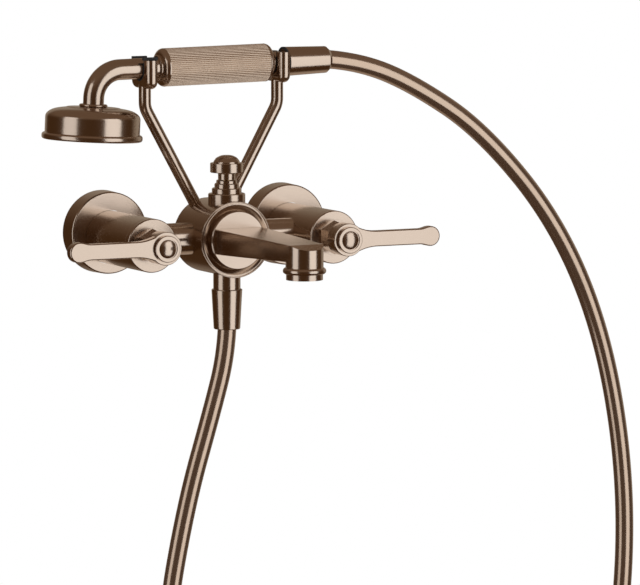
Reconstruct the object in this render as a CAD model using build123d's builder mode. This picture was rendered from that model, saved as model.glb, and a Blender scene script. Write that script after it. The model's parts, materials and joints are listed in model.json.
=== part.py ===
from build123d import *
import os
from math import atan2, cos, degrees, radians, sin, tan

os.makedirs("parts", exist_ok=True)

# Bath shower mixer for a wall, with a handset on a cradle, in millimetres.
# X runs along the wall, -Y points into the room and Z is up. The origin lies on the wall,
# midway between the two supplies, at the height of the valves.
# Depths are counted from the wall into the room, so a depth d is the plane Y = -d.

# General fits
overrun = 1.0
running_gap = 0.05
braze_gap = 0.05
face_gap = 0.3

# Supplies and eccentric unions
supply_spacing = 150.0
supply_rise = 3.0
tail_thread_radius = 10.48
tail_length = 25.0
tail_bore_radius = 6.0
thread_chamfer = 1.0
eccentric_thickness = 3.0
union_thread_radius = 13.22
union_thread_length = 6.0
union_bore_radius = 8.0

# Escutcheons
escutcheon_back_radius = 31.3
escutcheon_front_radius = 30.9
escutcheon_depth = 16.9
escutcheon_wall = 1.6
escutcheon_round = 1.4
escutcheon_hole_gap = 0.2

# Union nuts and inlet washers
nut_across_flats = 30.0
nut_start_gap = 0.5
nut_lip = 1.5
nut_chamfer = 0.8
washer_thickness = 2.0
washer_bore_radius = 8.0

# Valve barrels
barrel_radius = 20.0
barrel_front_depth = 93.9
barrel_front_round = 1.0
barrel_collar_radius = 11.7
barrel_collar_thickness = 2.0
barrel_neck_radius = 9.5
barrel_neck_length = 2.0
barrel_inlet_radius = 7.5
barrel_chamber_radius = 13.5
seat_depth = 44.0
groove_from_front = 6.2
groove_width = 0.6
groove_depth = 0.35

# Cross arms
arm_setback = 22.5
arm_radius = 12.0
arm_spigot_radius = 10.5
arm_bore_radius = 8.5
arm_spigot_setback = 1.2

# Headworks, from the seat outwards
seat_seal_thickness = 2.0
seat_seal_radius = 10.4
seat_seal_bore_radius = 6.5
cage_radius = 10.5
cage_floor = 2.0
cage_bore_radius = 9.0
cage_bore_length = 30.0
cage_window_radius = 3.2
cage_window_from_seat = 13.0
headwork_thread_length = 13.9
headwork_stem_bore_radius = 4.6
hex_back_radius = 12.8
hex_front_radius = 11.2
hex_length = 12.1
hex_setback = 0.1
hex_turn = 30.0
disc_thickness = 2.5
disc_port_radius = 2.5
disc_port_offset = 4.6
spindle_foot_radius = 7.2
spindle_foot_length = 7.0
spindle_stem_radius = 4.5
spindle_collar_length = 5.0
spindle_tap_radius = 2.1
spindle_tap_length = 9.0

# Levers
lever_back_gap = 0.3
lever_hub_radius = 12.3
lever_hub_length = 12.1
lever_hub_round = 0.4
lever_reach = 77.0
lever_half_width = 5.9
lever_paddle_half_width = 7.5
lever_paddle_length = 17.0
lever_flare_length = 12.5
lever_flare_half_width = 9.2
lever_flare_angle = 48.0
lever_flare_sag = 0.9
lever_thickness = 7.1
lever_edge_round = 1.2
lever_recess_radius = 7.6
lever_recess_depth = 3.6
lever_web = 2.4
screw_radius = 2.0
screw_head_radius = 4.0
screw_head_length = 2.4
cap_ring_radius = 9.9
cap_ring_height = 3.0
cap_ring_round = 0.5
cap_groove_radius = 7.6
cap_groove_depth = 0.7
cap_dome_radius = 6.9
cap_dome_height = 1.7

# Drum
drum_radius = 28.1
drum_back_depth = 28.0
drum_joint_depth = 76.0
drum_cavity_radius = 25.0
drum_back_wall = 4.0
drum_back_round = 1.5

# Drum bezel and face plate
bezel_height = 3.9
bezel_radius = 28.7
bezel_neck_length = 1.9
bezel_spigot_length = 4.0
bezel_spigot_wall = 1.7
bezel_bead_width = 1.0
bezel_groove_width = 0.8
bezel_groove_depth = 1.3
bezel_fall_depth = 2.6
bezel_fall_bulge = 0.2
bezel_crest_round = 0.15
bezel_crest_width = 0.35
plate_radius = 21.9
plate_rise = 4.0
plate_round = 0.7
plate_flange_thickness = 3.0
plate_boss_radius = 9.0
waterway_radius = 5.0
waterway_height = -0.5

# Spout
spout_root_half_width = 19.7
spout_root_top = 9.2
spout_root_bottom = -9.7
spout_middle_share = 0.505
spout_middle_half_width = 17.4
spout_middle_top = 8.0
spout_middle_bottom = -7.7
spout_fore_share = 0.793
spout_fore_half_width = 15.5
spout_fore_top = 7.3
spout_fore_bottom = -6.5
spout_depth = 195.0
spout_end_top = 6.7
spout_end_bottom = -5.8
spout_edge_round = 0.7
spout_slope_back_share = 0.2
spout_slope_drop = 3.5
outlet_radius = 13.85
outlet_bottom = -10.1
outlet_bore_radius = 11.6
outlet_bore_top = 0.0
outlet_throat_radius = 7.5
outlet_throat_top = 3.0

# Aerator
bead_radius = 15.85
bead_height = 4.7
bead_round = 2.0
aerator_radius = 13.45
aerator_height = 4.2
aerator_thread_length = 7.5
aerator_bore_radius = 10.2
aerator_insert_length = 12.0
aerator_insert_recess = 1.2
aerator_hole_radius = 1.0
aerator_inner_holes = 6
aerator_outer_holes = 12
aerator_ring_share = 0.42
aerator_outer_ring_share = 0.78

# Diverter on the drum's upright axis
diverter_setback = 12.5
diverter_body_radius = 11.5
diverter_body_bottom = -24.0
diverter_bore_radius = 9.25
diverter_disc_floor = 6.0
diverter_port_radius = 3.4
diverter_port_offset = 4.7
diverter_inlet_radius = 4.2
diverter_inlet_height = 17.0
collar_radius = 13.95
collar_top = 33.9
collar_round = 1.0
bonnet_step_radii = (11.15, 9.2, 7.85)
bonnet_step_tops = (37.9, 41.4, 43.9)
bonnet_step_round = 0.6
bonnet_spigot_length = 7.0
diverter_stem_radius = 4.0
diverter_foot_radius = 8.6
diverter_foot_height = 3.0

# Diverter knob
neck_radius = 6.5
neck_bottom = 44.2
knob_radius = 12.4
knob_bottom = 49.5
knob_top = 56.7
knob_round = 0.5
knob_flare = 1.3
knob_socket_top = 48.0

# Dome on the knob
dome_radius = 10.0
dome_steps = ((9.2, 2.0), (7.9, 3.6), (5.8, 4.8))
dome_height = 5.8
dome_spigot_radius = 6.0
dome_spigot_length = 3.0

# Hose outlet under the drum
tail_radius = 10.25
tail_bottom = -37.9
tail_spigot_radius = 9.0
tail_water_radius = 6.0
tail_thread_bottom = -47.5
tail_thread_step = 0.25
check_valve_top = -33.0
check_valve_length = 12.0
check_valve_bore_radius = 3.6
check_valve_seat = 1.0
hose_washer_thickness = 2.0
hose_nut_top_radius = 11.6
hose_nut_end_radius = 10.0
hose_nut_length = 30.1
hose_nut_gap = 0.4
hose_nut_round = 0.5
hose_flange_thickness = 3.0
hose_sleeve_clearance = 0.1
hose_radius = 7.1

# Cradle
cradle_setback = 9.0
cradle_half_span = 55.0
cradle_bar_radius = 4.6
cradle_bend_height = 98.0
cradle_bend_radius = 16.0
bar_spigot_radius = 3.0
bar_spigot_setback = 0.8
cup_width = 9.2
cup_outer_half = 16.4
cup_bottom_drop = 15.0
cup_prong_rises = (6.5, 8.0)
cup_corner_radius = 6.0
cup_edge_round = 4.3
cup_seat_drop = 12.0
liner_thickness = 1.25
liner_lip_width = 11.5
liner_lip_half = 11.2
liner_lip_heights = (2.25, 0.0)
liner_lip_round = 0.6

# Handset
handset_height = 128.4
handset_tilt = 1.0
neck_tube_radius = 7.8
neck_tube_bore_radius = 5.6
elbow_start = 75.5
elbow_radius = 21.7
elbow_bend = 86.1
elbow_straight = 6.0
grip_radius = 14.35
grip_middle = 2.2
grip_half_length = 45.7
grip_shoulder = 4.2
flute_count = 60
flute_depth = 0.45
flute_radius = 0.7
grip_collar_radius = 9.6
grip_collar_length = 2.0
grip_collar_round = 0.9

# Handset head, counted down along its own axis from the end of the elbow
head_collar_radius = 10.6
head_collar_bulge = 1.1
head_collar_rise = 1.6
head_foot_radius = 13.0
head_foot_drop = 0.6
head_dome = ((20.0, 1.0), (28.0, 2.4), (33.4, 5.0))
head_edge_drop = 9.2
head_radius = 35.5
head_wall = 1.8
rim_top_drop = 20.4
rim_bottom_drop = 25.4
rim_radius = 37.7
rim_lip = 2.2
rim_round = 2.0
rim_thread_overlap = 4.0
spray_plate_thickness = 2.0
gasket_thickness = 1.5
gasket_width = 4.0
spray_hole_radius = 0.6
spray_ring_shares = (0.2, 0.38, 0.56, 0.74, 0.9)
spray_ring_counts = (6, 12, 18, 24, 30)

# Handset hose connection
buffer_start = 60.1
buffer_radius = 11.2
buffer_thickness = 1.0
handset_nut_start = 61.2
handset_nut_taper_end = 95.4
handset_nut_end = 98.0
handset_nut_start_radius = 11.1
handset_nut_taper_radius = 10.15
handset_nut_end_radius = 8.0
handset_flange_thickness = 2.0
handset_thread_radius = 9.3
handset_thread_length = 9.0

# Hose: steps (X, Y, Z) from the handset's nut, points of the hanging loop, steps from the tail's nut
hose_inlet_setback = 1.0
hose_head_steps = (
    (27.0, 0.0, -2.6),
    (72.0, 0.0, -20.1),
    (133.0, 0.0, -58.1),
    (199.0, 0.0, -131.1),
)
hose_loop_points = (
    (339.5, -37.0, -90.5),
    (361.3, -37.0, -202.0),
    (359.8, -37.5, -312.0),
    (338.0, -38.5, -400.0),
    (290.0, -42.0, -468.0),
    (221.0, -47.0, -510.0),
    (143.0, -52.0, -519.0),
    (67.0, -57.0, -494.0),
    (4.0, -61.0, -441.0),
    (-38.0, -63.0, -368.0),
    (-53.0, -63.5, -296.0),
)
hose_foot_steps = (
    (-34.5, 0.0, -131.6),
    (-12.0, 0.0, -59.6),
    (-1.2, 0.0, -20.8),
)
hose_bend_share = 0.45

# Depths and heights that follow from the sizes above
arm_depth = drum_joint_depth - arm_setback
diverter_depth = drum_joint_depth - diverter_setback
cradle_depth = drum_back_depth + cradle_setback
bezel_front_depth = drum_joint_depth + bezel_height
plate_front_depth = bezel_front_depth + plate_rise
nut_start_depth = eccentric_thickness + nut_start_gap
washer_depth = eccentric_thickness + union_thread_length
collar_depth = washer_depth + washer_thickness
neck_depth = collar_depth + barrel_collar_thickness
barrel_back_depth = neck_depth + barrel_neck_length
cage_start_depth = seat_depth + seat_seal_thickness
disc_depth = cage_start_depth + cage_floor
moving_disc_depth = disc_depth + disc_thickness
spindle_depth = moving_disc_depth + disc_thickness
cage_bore_end_depth = disc_depth + cage_bore_length
hex_depth = barrel_front_depth + hex_setback
hex_end_depth = hex_depth + hex_length
lever_back_depth = hex_end_depth + lever_back_gap
lever_front_depth = lever_back_depth + lever_hub_length
recess_depth = lever_front_depth - lever_recess_depth
spindle_end_depth = recess_depth - lever_web
hose_nut_top = tail_bottom - hose_nut_gap
hose_nut_bottom = hose_nut_top - hose_nut_length
hose_washer_top = tail_thread_bottom
hose_flange_top = hose_washer_top - hose_washer_thickness
hose_flange_bottom = hose_flange_top - hose_flange_thickness
sleeve_radius = hose_radius + hose_sleeve_clearance
dome_ball_radius = (cap_dome_radius**2 + cap_dome_height**2) / (2 * cap_dome_height)
cup_slot_radius = neck_tube_radius + face_gap + liner_thickness + running_gap
liner_outer_radius = neck_tube_radius + face_gap + liner_thickness

sides = (("left", -1), ("right", 1))


def forward_plane(x, z):
    """Sketch plane of a turned piece that points into the room: X is depth, Y is radius."""
    return Plane(origin=(x, 0, z), x_dir=(0, -1, 0), z_dir=(-1, 0, 0))


def forward_axis(x, z):
    """Axis into the room at a place on the wall."""
    return Axis((x, 0, z), (0, -1, 0))


def upright_plane(depth):
    """Sketch plane of a turned piece on the drum's upright axis: X is radius, Y is height."""
    return Plane(origin=(0, -depth, 0), x_dir=(1, 0, 0), z_dir=(0, -1, 0))


def upright_axis(depth):
    """Upright axis at a depth in front of the wall."""
    return Axis((0, -depth, 0), (0, 0, 1))


def wall_plane(depth):
    """Sketch plane parallel to the wall: X is X and Y is Z, and it extrudes into the room."""
    return Plane.XZ.offset(depth)


def outline(*points):
    """Fill the closed straight-sided outline through the points."""
    Polygon(*points, align=None)


def cup_height(x):
    """Height of the handset's axis where it crosses a cup."""
    return handset_height + x * tan(radians(handset_tilt))


# Eccentric unions: a tail for the wall, an offset body and a thread for the union nut
for side, sign in sides:
    valve_x = sign * supply_spacing / 2
    with BuildPart() as eccentric_union:
        with BuildSketch(wall_plane(-tail_length)):
            with Locations((valve_x, supply_rise)):
                Circle(tail_thread_radius)
        extrude(amount=tail_length)
        with BuildSketch(wall_plane(0)):
            with Locations((valve_x, supply_rise), (valve_x, 0)):
                Circle(union_thread_radius)
            make_hull()
        extrude(amount=eccentric_thickness)
        with BuildSketch(wall_plane(eccentric_thickness)):
            with Locations((valve_x, 0)):
                Circle(union_thread_radius)
        extrude(amount=union_thread_length)
        with BuildSketch(wall_plane(-tail_length)):
            with Locations((valve_x, supply_rise)):
                Circle(tail_bore_radius)
        extrude(amount=tail_length + eccentric_thickness, mode=Mode.SUBTRACT)
        with BuildSketch(wall_plane(eccentric_thickness / 2)):
            with Locations((valve_x, 0)):
                Circle(union_bore_radius)
        extrude(amount=eccentric_thickness + union_thread_length, mode=Mode.SUBTRACT)
        tail_end = eccentric_union.edges().group_by(Axis.Y)[-1].sort_by(SortBy.RADIUS)[-1]
        chamfer(tail_end, length=thread_chamfer)
    eccentric_union.part.label = f"{side}_eccentric_union"
    export_step(eccentric_union.part, f"parts/{side}_eccentric_union.step")

# Escutcheons: open-backed cups that cover the unions, with an eccentric hole for the barrel
for side, sign in sides:
    valve_x = sign * supply_spacing / 2
    inner_front_radius = escutcheon_front_radius - escutcheon_wall
    inner_back_radius = escutcheon_back_radius - escutcheon_wall
    with BuildPart() as escutcheon:
        with BuildSketch(forward_plane(valve_x, supply_rise)):
            outline(
                (0, escutcheon_back_radius),
                (escutcheon_depth, escutcheon_front_radius),
                (escutcheon_depth, 0),
                (escutcheon_depth - escutcheon_wall, 0),
                (escutcheon_depth - escutcheon_wall, inner_front_radius),
                (0, inner_back_radius),
            )
        revolve(axis=forward_axis(valve_x, supply_rise))
        front_edge = escutcheon.edges().group_by(Axis.Y)[0]
        fillet(front_edge, radius=escutcheon_round)
        with BuildSketch(wall_plane(0)):
            with Locations((valve_x, 0)):
                Circle(barrel_radius + escutcheon_hole_gap)
        extrude(amount=escutcheon_depth + overrun, mode=Mode.SUBTRACT)
    escutcheon.part.label = f"{side}_escutcheon"
    export_step(escutcheon.part, f"parts/{side}_escutcheon.step")

# Union nuts, one solid for each supply
with BuildPart() as union_nuts:
    nut_places = GridLocations(supply_spacing, supply_spacing, 2, 1)
    nut_length = neck_depth - nut_start_depth + nut_lip
    with BuildSketch(wall_plane(nut_start_depth)):
        with nut_places:
            RegularPolygon(radius=nut_across_flats / 2, side_count=6, major_radius=False)
    extrude(amount=nut_length)
    nut_rims = union_nuts.edges().group_by(Axis.Y)
    chamfer(nut_rims[0] + nut_rims[-1], length=nut_chamfer)
    with BuildSketch(wall_plane(nut_start_depth)):
        with nut_places:
            Circle(union_thread_radius + running_gap)
    extrude(amount=neck_depth + running_gap - nut_start_depth, mode=Mode.SUBTRACT)
    with BuildSketch(wall_plane(nut_start_depth)):
        with nut_places:
            Circle(barrel_neck_radius + running_gap)
    extrude(amount=nut_length, mode=Mode.SUBTRACT)
union_nuts.part.label = "union_nuts"
export_step(union_nuts.part, "parts/union_nuts.step")

# Inlet washers between the unions and the barrels
with BuildPart() as inlet_washers:
    with BuildSketch(wall_plane(washer_depth)):
        with GridLocations(supply_spacing, supply_spacing, 2, 1):
            Circle(barrel_collar_radius)
            Circle(washer_bore_radius, mode=Mode.SUBTRACT)
    extrude(amount=washer_thickness)
inlet_washers.part.label = "inlet_washers"
export_step(inlet_washers.part, "parts/inlet_washers.step")

# Valve barrels: a collar for the nut, an inlet bore, the valve's chamber and a socket for the arm
for side, sign in sides:
    valve_x = sign * supply_spacing / 2
    groove_start = barrel_front_depth - groove_from_front
    with BuildPart() as barrel:
        with BuildSketch(forward_plane(valve_x, 0)):
            outline(
                (collar_depth, barrel_inlet_radius),
                (collar_depth, barrel_collar_radius),
                (neck_depth, barrel_collar_radius),
                (neck_depth, barrel_neck_radius),
                (barrel_back_depth, barrel_neck_radius),
                (barrel_back_depth, barrel_radius),
                (groove_start, barrel_radius),
                (groove_start + groove_width / 2, barrel_radius - groove_depth),
                (groove_start + groove_width, barrel_radius),
                (barrel_front_depth, barrel_radius),
                (barrel_front_depth, barrel_chamber_radius),
                (seat_depth, barrel_chamber_radius),
                (seat_depth, barrel_inlet_radius),
            )
        revolve(axis=forward_axis(valve_x, 0))
        barrel_rim = barrel.edges().group_by(Axis.Y)[0].sort_by(SortBy.RADIUS)[-1]
        fillet(barrel_rim, radius=barrel_front_round)
        with BuildSketch(Plane(origin=(valve_x, -arm_depth, 0), z_dir=(-sign, 0, 0))):
            Circle(arm_spigot_radius + braze_gap)
        extrude(amount=barrel_radius + overrun, mode=Mode.SUBTRACT)
    barrel.part.label = f"{side}_barrel"
    export_step(barrel.part, f"parts/{side}_barrel.step")

# Cross arms: tubes shaped to the drum and the barrel, with a spigot in each
for side, sign in sides:
    valve_x = sign * supply_spacing / 2
    drum_end = drum_cavity_radius + arm_spigot_setback - overrun
    barrel_end = supply_spacing / 2 - barrel_chamber_radius - arm_spigot_setback
    with BuildPart() as cross_arm:
        with BuildSketch(Plane(origin=(0, -arm_depth, 0), z_dir=(sign, 0, 0))):
            Circle(arm_radius)
        extrude(amount=supply_spacing / 2)
        with BuildSketch(wall_plane(0)):
            Circle(drum_radius + braze_gap)
            with Locations((valve_x, 0)):
                Circle(barrel_radius + braze_gap)
        extrude(amount=plate_front_depth, mode=Mode.SUBTRACT)
        with BuildSketch(Plane(origin=(sign * drum_end, -arm_depth, 0), z_dir=(sign, 0, 0))):
            Circle(arm_spigot_radius)
        extrude(amount=barrel_end - drum_end)
        with BuildSketch(Plane(origin=(0, -arm_depth, 0), z_dir=(sign, 0, 0))):
            Circle(arm_bore_radius)
        extrude(amount=supply_spacing / 2, mode=Mode.SUBTRACT)
    cross_arm.part.label = f"{side}_cross_arm"
    export_step(cross_arm.part, f"parts/{side}_cross_arm.step")

# Seat seals between the barrels' seats and the headworks
with BuildPart() as seat_seals:
    with BuildSketch(wall_plane(seat_depth)):
        with GridLocations(supply_spacing, supply_spacing, 2, 1):
            Circle(seat_seal_radius)
            Circle(seat_seal_bore_radius, mode=Mode.SUBTRACT)
    extrude(amount=seat_seal_thickness)
seat_seals.part.label = "seat_seals"
export_step(seat_seals.part, "parts/seat_seals.step")

# Headwork bodies: a cage with windows, a threaded collar and the tapered hexagon that shows
for side, sign in sides:
    valve_x = sign * supply_spacing / 2
    thread_start = barrel_front_depth - headwork_thread_length
    with BuildPart() as headwork:
        with BuildSketch(forward_plane(valve_x, 0)):
            outline(
                (cage_start_depth, seat_seal_bore_radius),
                (cage_start_depth, cage_radius),
                (thread_start, cage_radius),
                (thread_start, barrel_chamber_radius - running_gap),
                (barrel_front_depth, barrel_chamber_radius - running_gap),
                (barrel_front_depth, hex_front_radius - hex_setback),
                (hex_depth, hex_front_radius - hex_setback),
                (hex_depth, headwork_stem_bore_radius),
                (cage_bore_end_depth, headwork_stem_bore_radius),
                (cage_bore_end_depth, cage_bore_radius),
                (disc_depth, cage_bore_radius),
                (disc_depth, seat_seal_bore_radius),
            )
        revolve(axis=forward_axis(valve_x, 0))
        for hex_place, hex_radius in ((hex_depth, hex_back_radius), (hex_end_depth, hex_front_radius)):
            with BuildSketch(wall_plane(hex_place)):
                with Locations((valve_x, 0)):
                    RegularPolygon(radius=hex_radius, side_count=6, rotation=hex_turn)
        loft(ruled=True)
        with BuildSketch(wall_plane(cage_bore_end_depth)):
            with Locations((valve_x, 0)):
                Circle(headwork_stem_bore_radius)
        extrude(amount=hex_end_depth - cage_bore_end_depth, mode=Mode.SUBTRACT)
        window_depth = seat_depth + cage_window_from_seat
        for window_direction in ((1, 0, 0), (0, 0, 1)):
            with BuildSketch(Plane(origin=(valve_x, -window_depth, 0), z_dir=window_direction)):
                Circle(cage_window_radius)
            extrude(amount=cage_radius + overrun, both=True, mode=Mode.SUBTRACT)
    headwork.part.label = f"{side}_headwork"
    export_step(headwork.part, f"parts/{side}_headwork.step")

# Fixed ceramic discs on the floors of the cages, with their ports above and below
with BuildPart() as fixed_discs:
    with BuildSketch(wall_plane(disc_depth)):
        with GridLocations(supply_spacing, supply_spacing, 2, 1):
            Circle(cage_bore_radius - running_gap)
            with GridLocations(disc_port_offset, 2 * disc_port_offset, 1, 2):
                Circle(disc_port_radius, mode=Mode.SUBTRACT)
    extrude(amount=disc_thickness)
fixed_discs.part.label = "fixed_discs"
export_step(fixed_discs.part, "parts/fixed_discs.step")

# Moving ceramic discs, with their ports to the left and right while the valve is closed
for side, sign in sides:
    valve_x = sign * supply_spacing / 2
    with BuildPart() as moving_disc:
        with BuildSketch(wall_plane(moving_disc_depth)):
            with Locations((valve_x, 0)):
                Circle(cage_bore_radius - running_gap)
                with GridLocations(2 * disc_port_offset, disc_port_offset, 2, 1):
                    Circle(disc_port_radius, mode=Mode.SUBTRACT)
        extrude(amount=disc_thickness)
    moving_disc.part.label = f"{side}_moving_disc"
    export_step(moving_disc.part, f"parts/{side}_moving_disc.step")

# Valve spindles: a foot on the disc, a collar under the headwork's shoulder and a tapped stem
for side, sign in sides:
    valve_x = sign * supply_spacing / 2
    spindle_collar_end = cage_bore_end_depth - running_gap
    spindle_foot_end = spindle_depth + spindle_foot_length
    with BuildPart() as spindle:
        with BuildSketch(forward_plane(valve_x, 0)):
            outline(
                (spindle_depth, 0),
                (spindle_depth, spindle_foot_radius),
                (spindle_foot_end, spindle_foot_radius),
                (spindle_foot_end, spindle_stem_radius),
                (spindle_collar_end - spindle_collar_length, spindle_stem_radius),
                (spindle_collar_end - spindle_collar_length, cage_bore_radius - running_gap),
                (spindle_collar_end, cage_bore_radius - running_gap),
                (spindle_collar_end, spindle_stem_radius),
                (spindle_end_depth, spindle_stem_radius),
                (spindle_end_depth, spindle_tap_radius),
                (spindle_end_depth - spindle_tap_length, spindle_tap_radius),
                (spindle_end_depth - spindle_tap_length, 0),
            )
        revolve(axis=forward_axis(valve_x, 0))
    spindle.part.label = f"{side}_spindle"
    export_step(spindle.part, f"parts/{side}_spindle.step")

# Levers: a round hub with a flat arm that flares into it and ends in a rounded paddle
for side, sign in sides:
    valve_x = sign * supply_spacing / 2
    arm_back_depth = lever_front_depth - lever_thickness
    flare_x = lever_hub_radius + lever_flare_length
    paddle_x = lever_reach - lever_paddle_length
    paddle_middle_x = lever_reach - lever_paddle_half_width
    flare_start_x = lever_hub_radius * cos(radians(lever_flare_angle))
    flare_middle_x = (flare_start_x + flare_x) / 2
    flare_middle_y = (lever_flare_half_width + lever_half_width) / 2 - lever_flare_sag
    lever_place = Plane(
        origin=(valve_x, -arm_back_depth, 0), x_dir=(sign, 0, 0), z_dir=(0, -1, 0)
    )
    with BuildPart() as lever:
        with BuildSketch(lever_place):
            with BuildLine():
                Line((0, 0), (0, lever_flare_half_width))
                Line((0, lever_flare_half_width), (flare_start_x, lever_flare_half_width))
                ThreePointArc(
                    (flare_start_x, lever_flare_half_width),
                    (flare_middle_x, flare_middle_y),
                    (flare_x, lever_half_width),
                )
                Line((flare_x, lever_half_width), (paddle_x, lever_half_width))
                Spline(
                    (paddle_x, lever_half_width),
                    (paddle_middle_x, lever_paddle_half_width),
                    tangents=((1, 0), (1, 0)),
                )
                RadiusArc(
                    (paddle_middle_x, lever_paddle_half_width),
                    (lever_reach, 0),
                    lever_paddle_half_width,
                )
                Line((lever_reach, 0), (0, 0))
            make_face()
            mirror(about=Plane.XZ)
        extrude(amount=lever_thickness)
        arm_edges = lever.edges().group_by(Axis.Y)
        fillet(arm_edges[0] + arm_edges[-1], radius=lever_edge_round)
        with BuildSketch(forward_plane(valve_x, 0)):
            outline(
                (lever_back_depth, 0),
                (lever_back_depth, lever_hub_radius - lever_hub_round),
                (lever_back_depth + lever_hub_round, lever_hub_radius),
                (lever_front_depth - lever_hub_round, lever_hub_radius),
                (lever_front_depth, lever_hub_radius - lever_hub_round),
                (lever_front_depth, 0),
            )
        revolve(axis=forward_axis(valve_x, 0))
        with BuildSketch(forward_plane(valve_x, 0)):
            outline(
                (lever_back_depth, 0),
                (lever_back_depth, spindle_stem_radius + running_gap),
                (spindle_end_depth, spindle_stem_radius + running_gap),
                (spindle_end_depth, screw_radius + running_gap),
                (recess_depth, screw_radius + running_gap),
                (recess_depth, lever_recess_radius + running_gap),
                (lever_front_depth, lever_recess_radius + running_gap),
                (lever_front_depth, 0),
            )
        revolve(axis=forward_axis(valve_x, 0), mode=Mode.SUBTRACT)
    lever.part.label = f"{side}_lever"
    export_step(lever.part, f"parts/{side}_lever.step")

# Screws that hold the levers on their spindles
for side, sign in sides:
    valve_x = sign * supply_spacing / 2
    screw_end = spindle_end_depth - spindle_tap_length + overrun
    with BuildPart() as lever_screw:
        with BuildSketch(forward_plane(valve_x, 0)):
            outline(
                (screw_end, 0),
                (screw_end, screw_radius),
                (recess_depth, screw_radius),
                (recess_depth, screw_head_radius),
                (recess_depth + screw_head_length, screw_head_radius),
                (recess_depth + screw_head_length, 0),
            )
        revolve(axis=forward_axis(valve_x, 0))
    lever_screw.part.label = f"{side}_lever_screw"
    export_step(lever_screw.part, f"parts/{side}_lever_screw.step")

# Lever caps: a plug in the hub's recess, a raised ring, a groove and a low dome
for side, sign in sides:
    valve_x = sign * supply_spacing / 2
    plug_depth = recess_depth + screw_head_length + running_gap
    ring_depth = lever_front_depth + cap_ring_height
    dome_depth = ring_depth - cap_groove_depth
    with BuildPart() as lever_cap:
        with BuildSketch(forward_plane(valve_x, 0)):
            with BuildLine():
                Polyline(
                    (dome_depth + cap_dome_height, 0),
                    (plug_depth, 0),
                    (plug_depth, lever_recess_radius),
                    (lever_front_depth, lever_recess_radius),
                    (lever_front_depth, cap_ring_radius),
                    (ring_depth - cap_ring_round, cap_ring_radius),
                    (ring_depth, cap_ring_radius - cap_ring_round),
                    (ring_depth, cap_groove_radius),
                    (dome_depth, cap_groove_radius),
                    (dome_depth, cap_dome_radius),
                )
                CenterArc(
                    (dome_depth + cap_dome_height - dome_ball_radius, 0),
                    dome_ball_radius,
                    0,
                    degrees(atan2(cap_dome_radius, dome_ball_radius - cap_dome_height)),
                )
            make_face()
        revolve(axis=forward_axis(valve_x, 0))
    lever_cap.part.label = f"{side}_lever_cap"
    export_step(lever_cap.part, f"parts/{side}_lever_cap.step")

# Drum body: a cup on its side, with sockets for the arms and bars and holes for the diverter
bar_lean = degrees(atan2(cradle_half_span, cradle_bend_height))
with BuildPart() as drum_body:
    with BuildSketch(forward_plane(0, 0)):
        outline(
            (drum_back_depth, 0),
            (drum_back_depth, drum_radius),
            (drum_joint_depth, drum_radius),
            (drum_joint_depth, drum_cavity_radius),
            (drum_back_depth + drum_back_wall, drum_cavity_radius),
            (drum_back_depth + drum_back_wall, 0),
        )
    revolve(axis=forward_axis(0, 0))
    fillet(drum_body.edges().group_by(Axis.Y)[-1], radius=drum_back_round)
    with BuildSketch(Plane(origin=(0, -arm_depth, 0), z_dir=(1, 0, 0))):
        Circle(arm_spigot_radius + braze_gap)
    extrude(amount=drum_radius + overrun, both=True, mode=Mode.SUBTRACT)
    with BuildSketch(Plane.XY.offset(diverter_body_bottom - running_gap)):
        with Locations((0, -diverter_depth)):
            Circle(diverter_body_radius + running_gap)
    extrude(amount=2 * drum_radius, mode=Mode.SUBTRACT)
    with BuildSketch(Plane.XY):
        with Locations((0, -diverter_depth)):
            Circle(tail_spigot_radius + braze_gap)
    extrude(amount=-(drum_radius + overrun), mode=Mode.SUBTRACT)
    for lean_sign in (-1, 1):
        lean = radians(lean_sign * bar_lean)
        with BuildSketch(Plane(origin=(0, -cradle_depth, 0), z_dir=(sin(lean), 0, cos(lean)))):
            Circle(bar_spigot_radius + braze_gap)
        extrude(amount=drum_radius + overrun, mode=Mode.SUBTRACT)
drum_body.part.label = "drum_body"
export_step(drum_body.part, "parts/drum_body.step")

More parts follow.
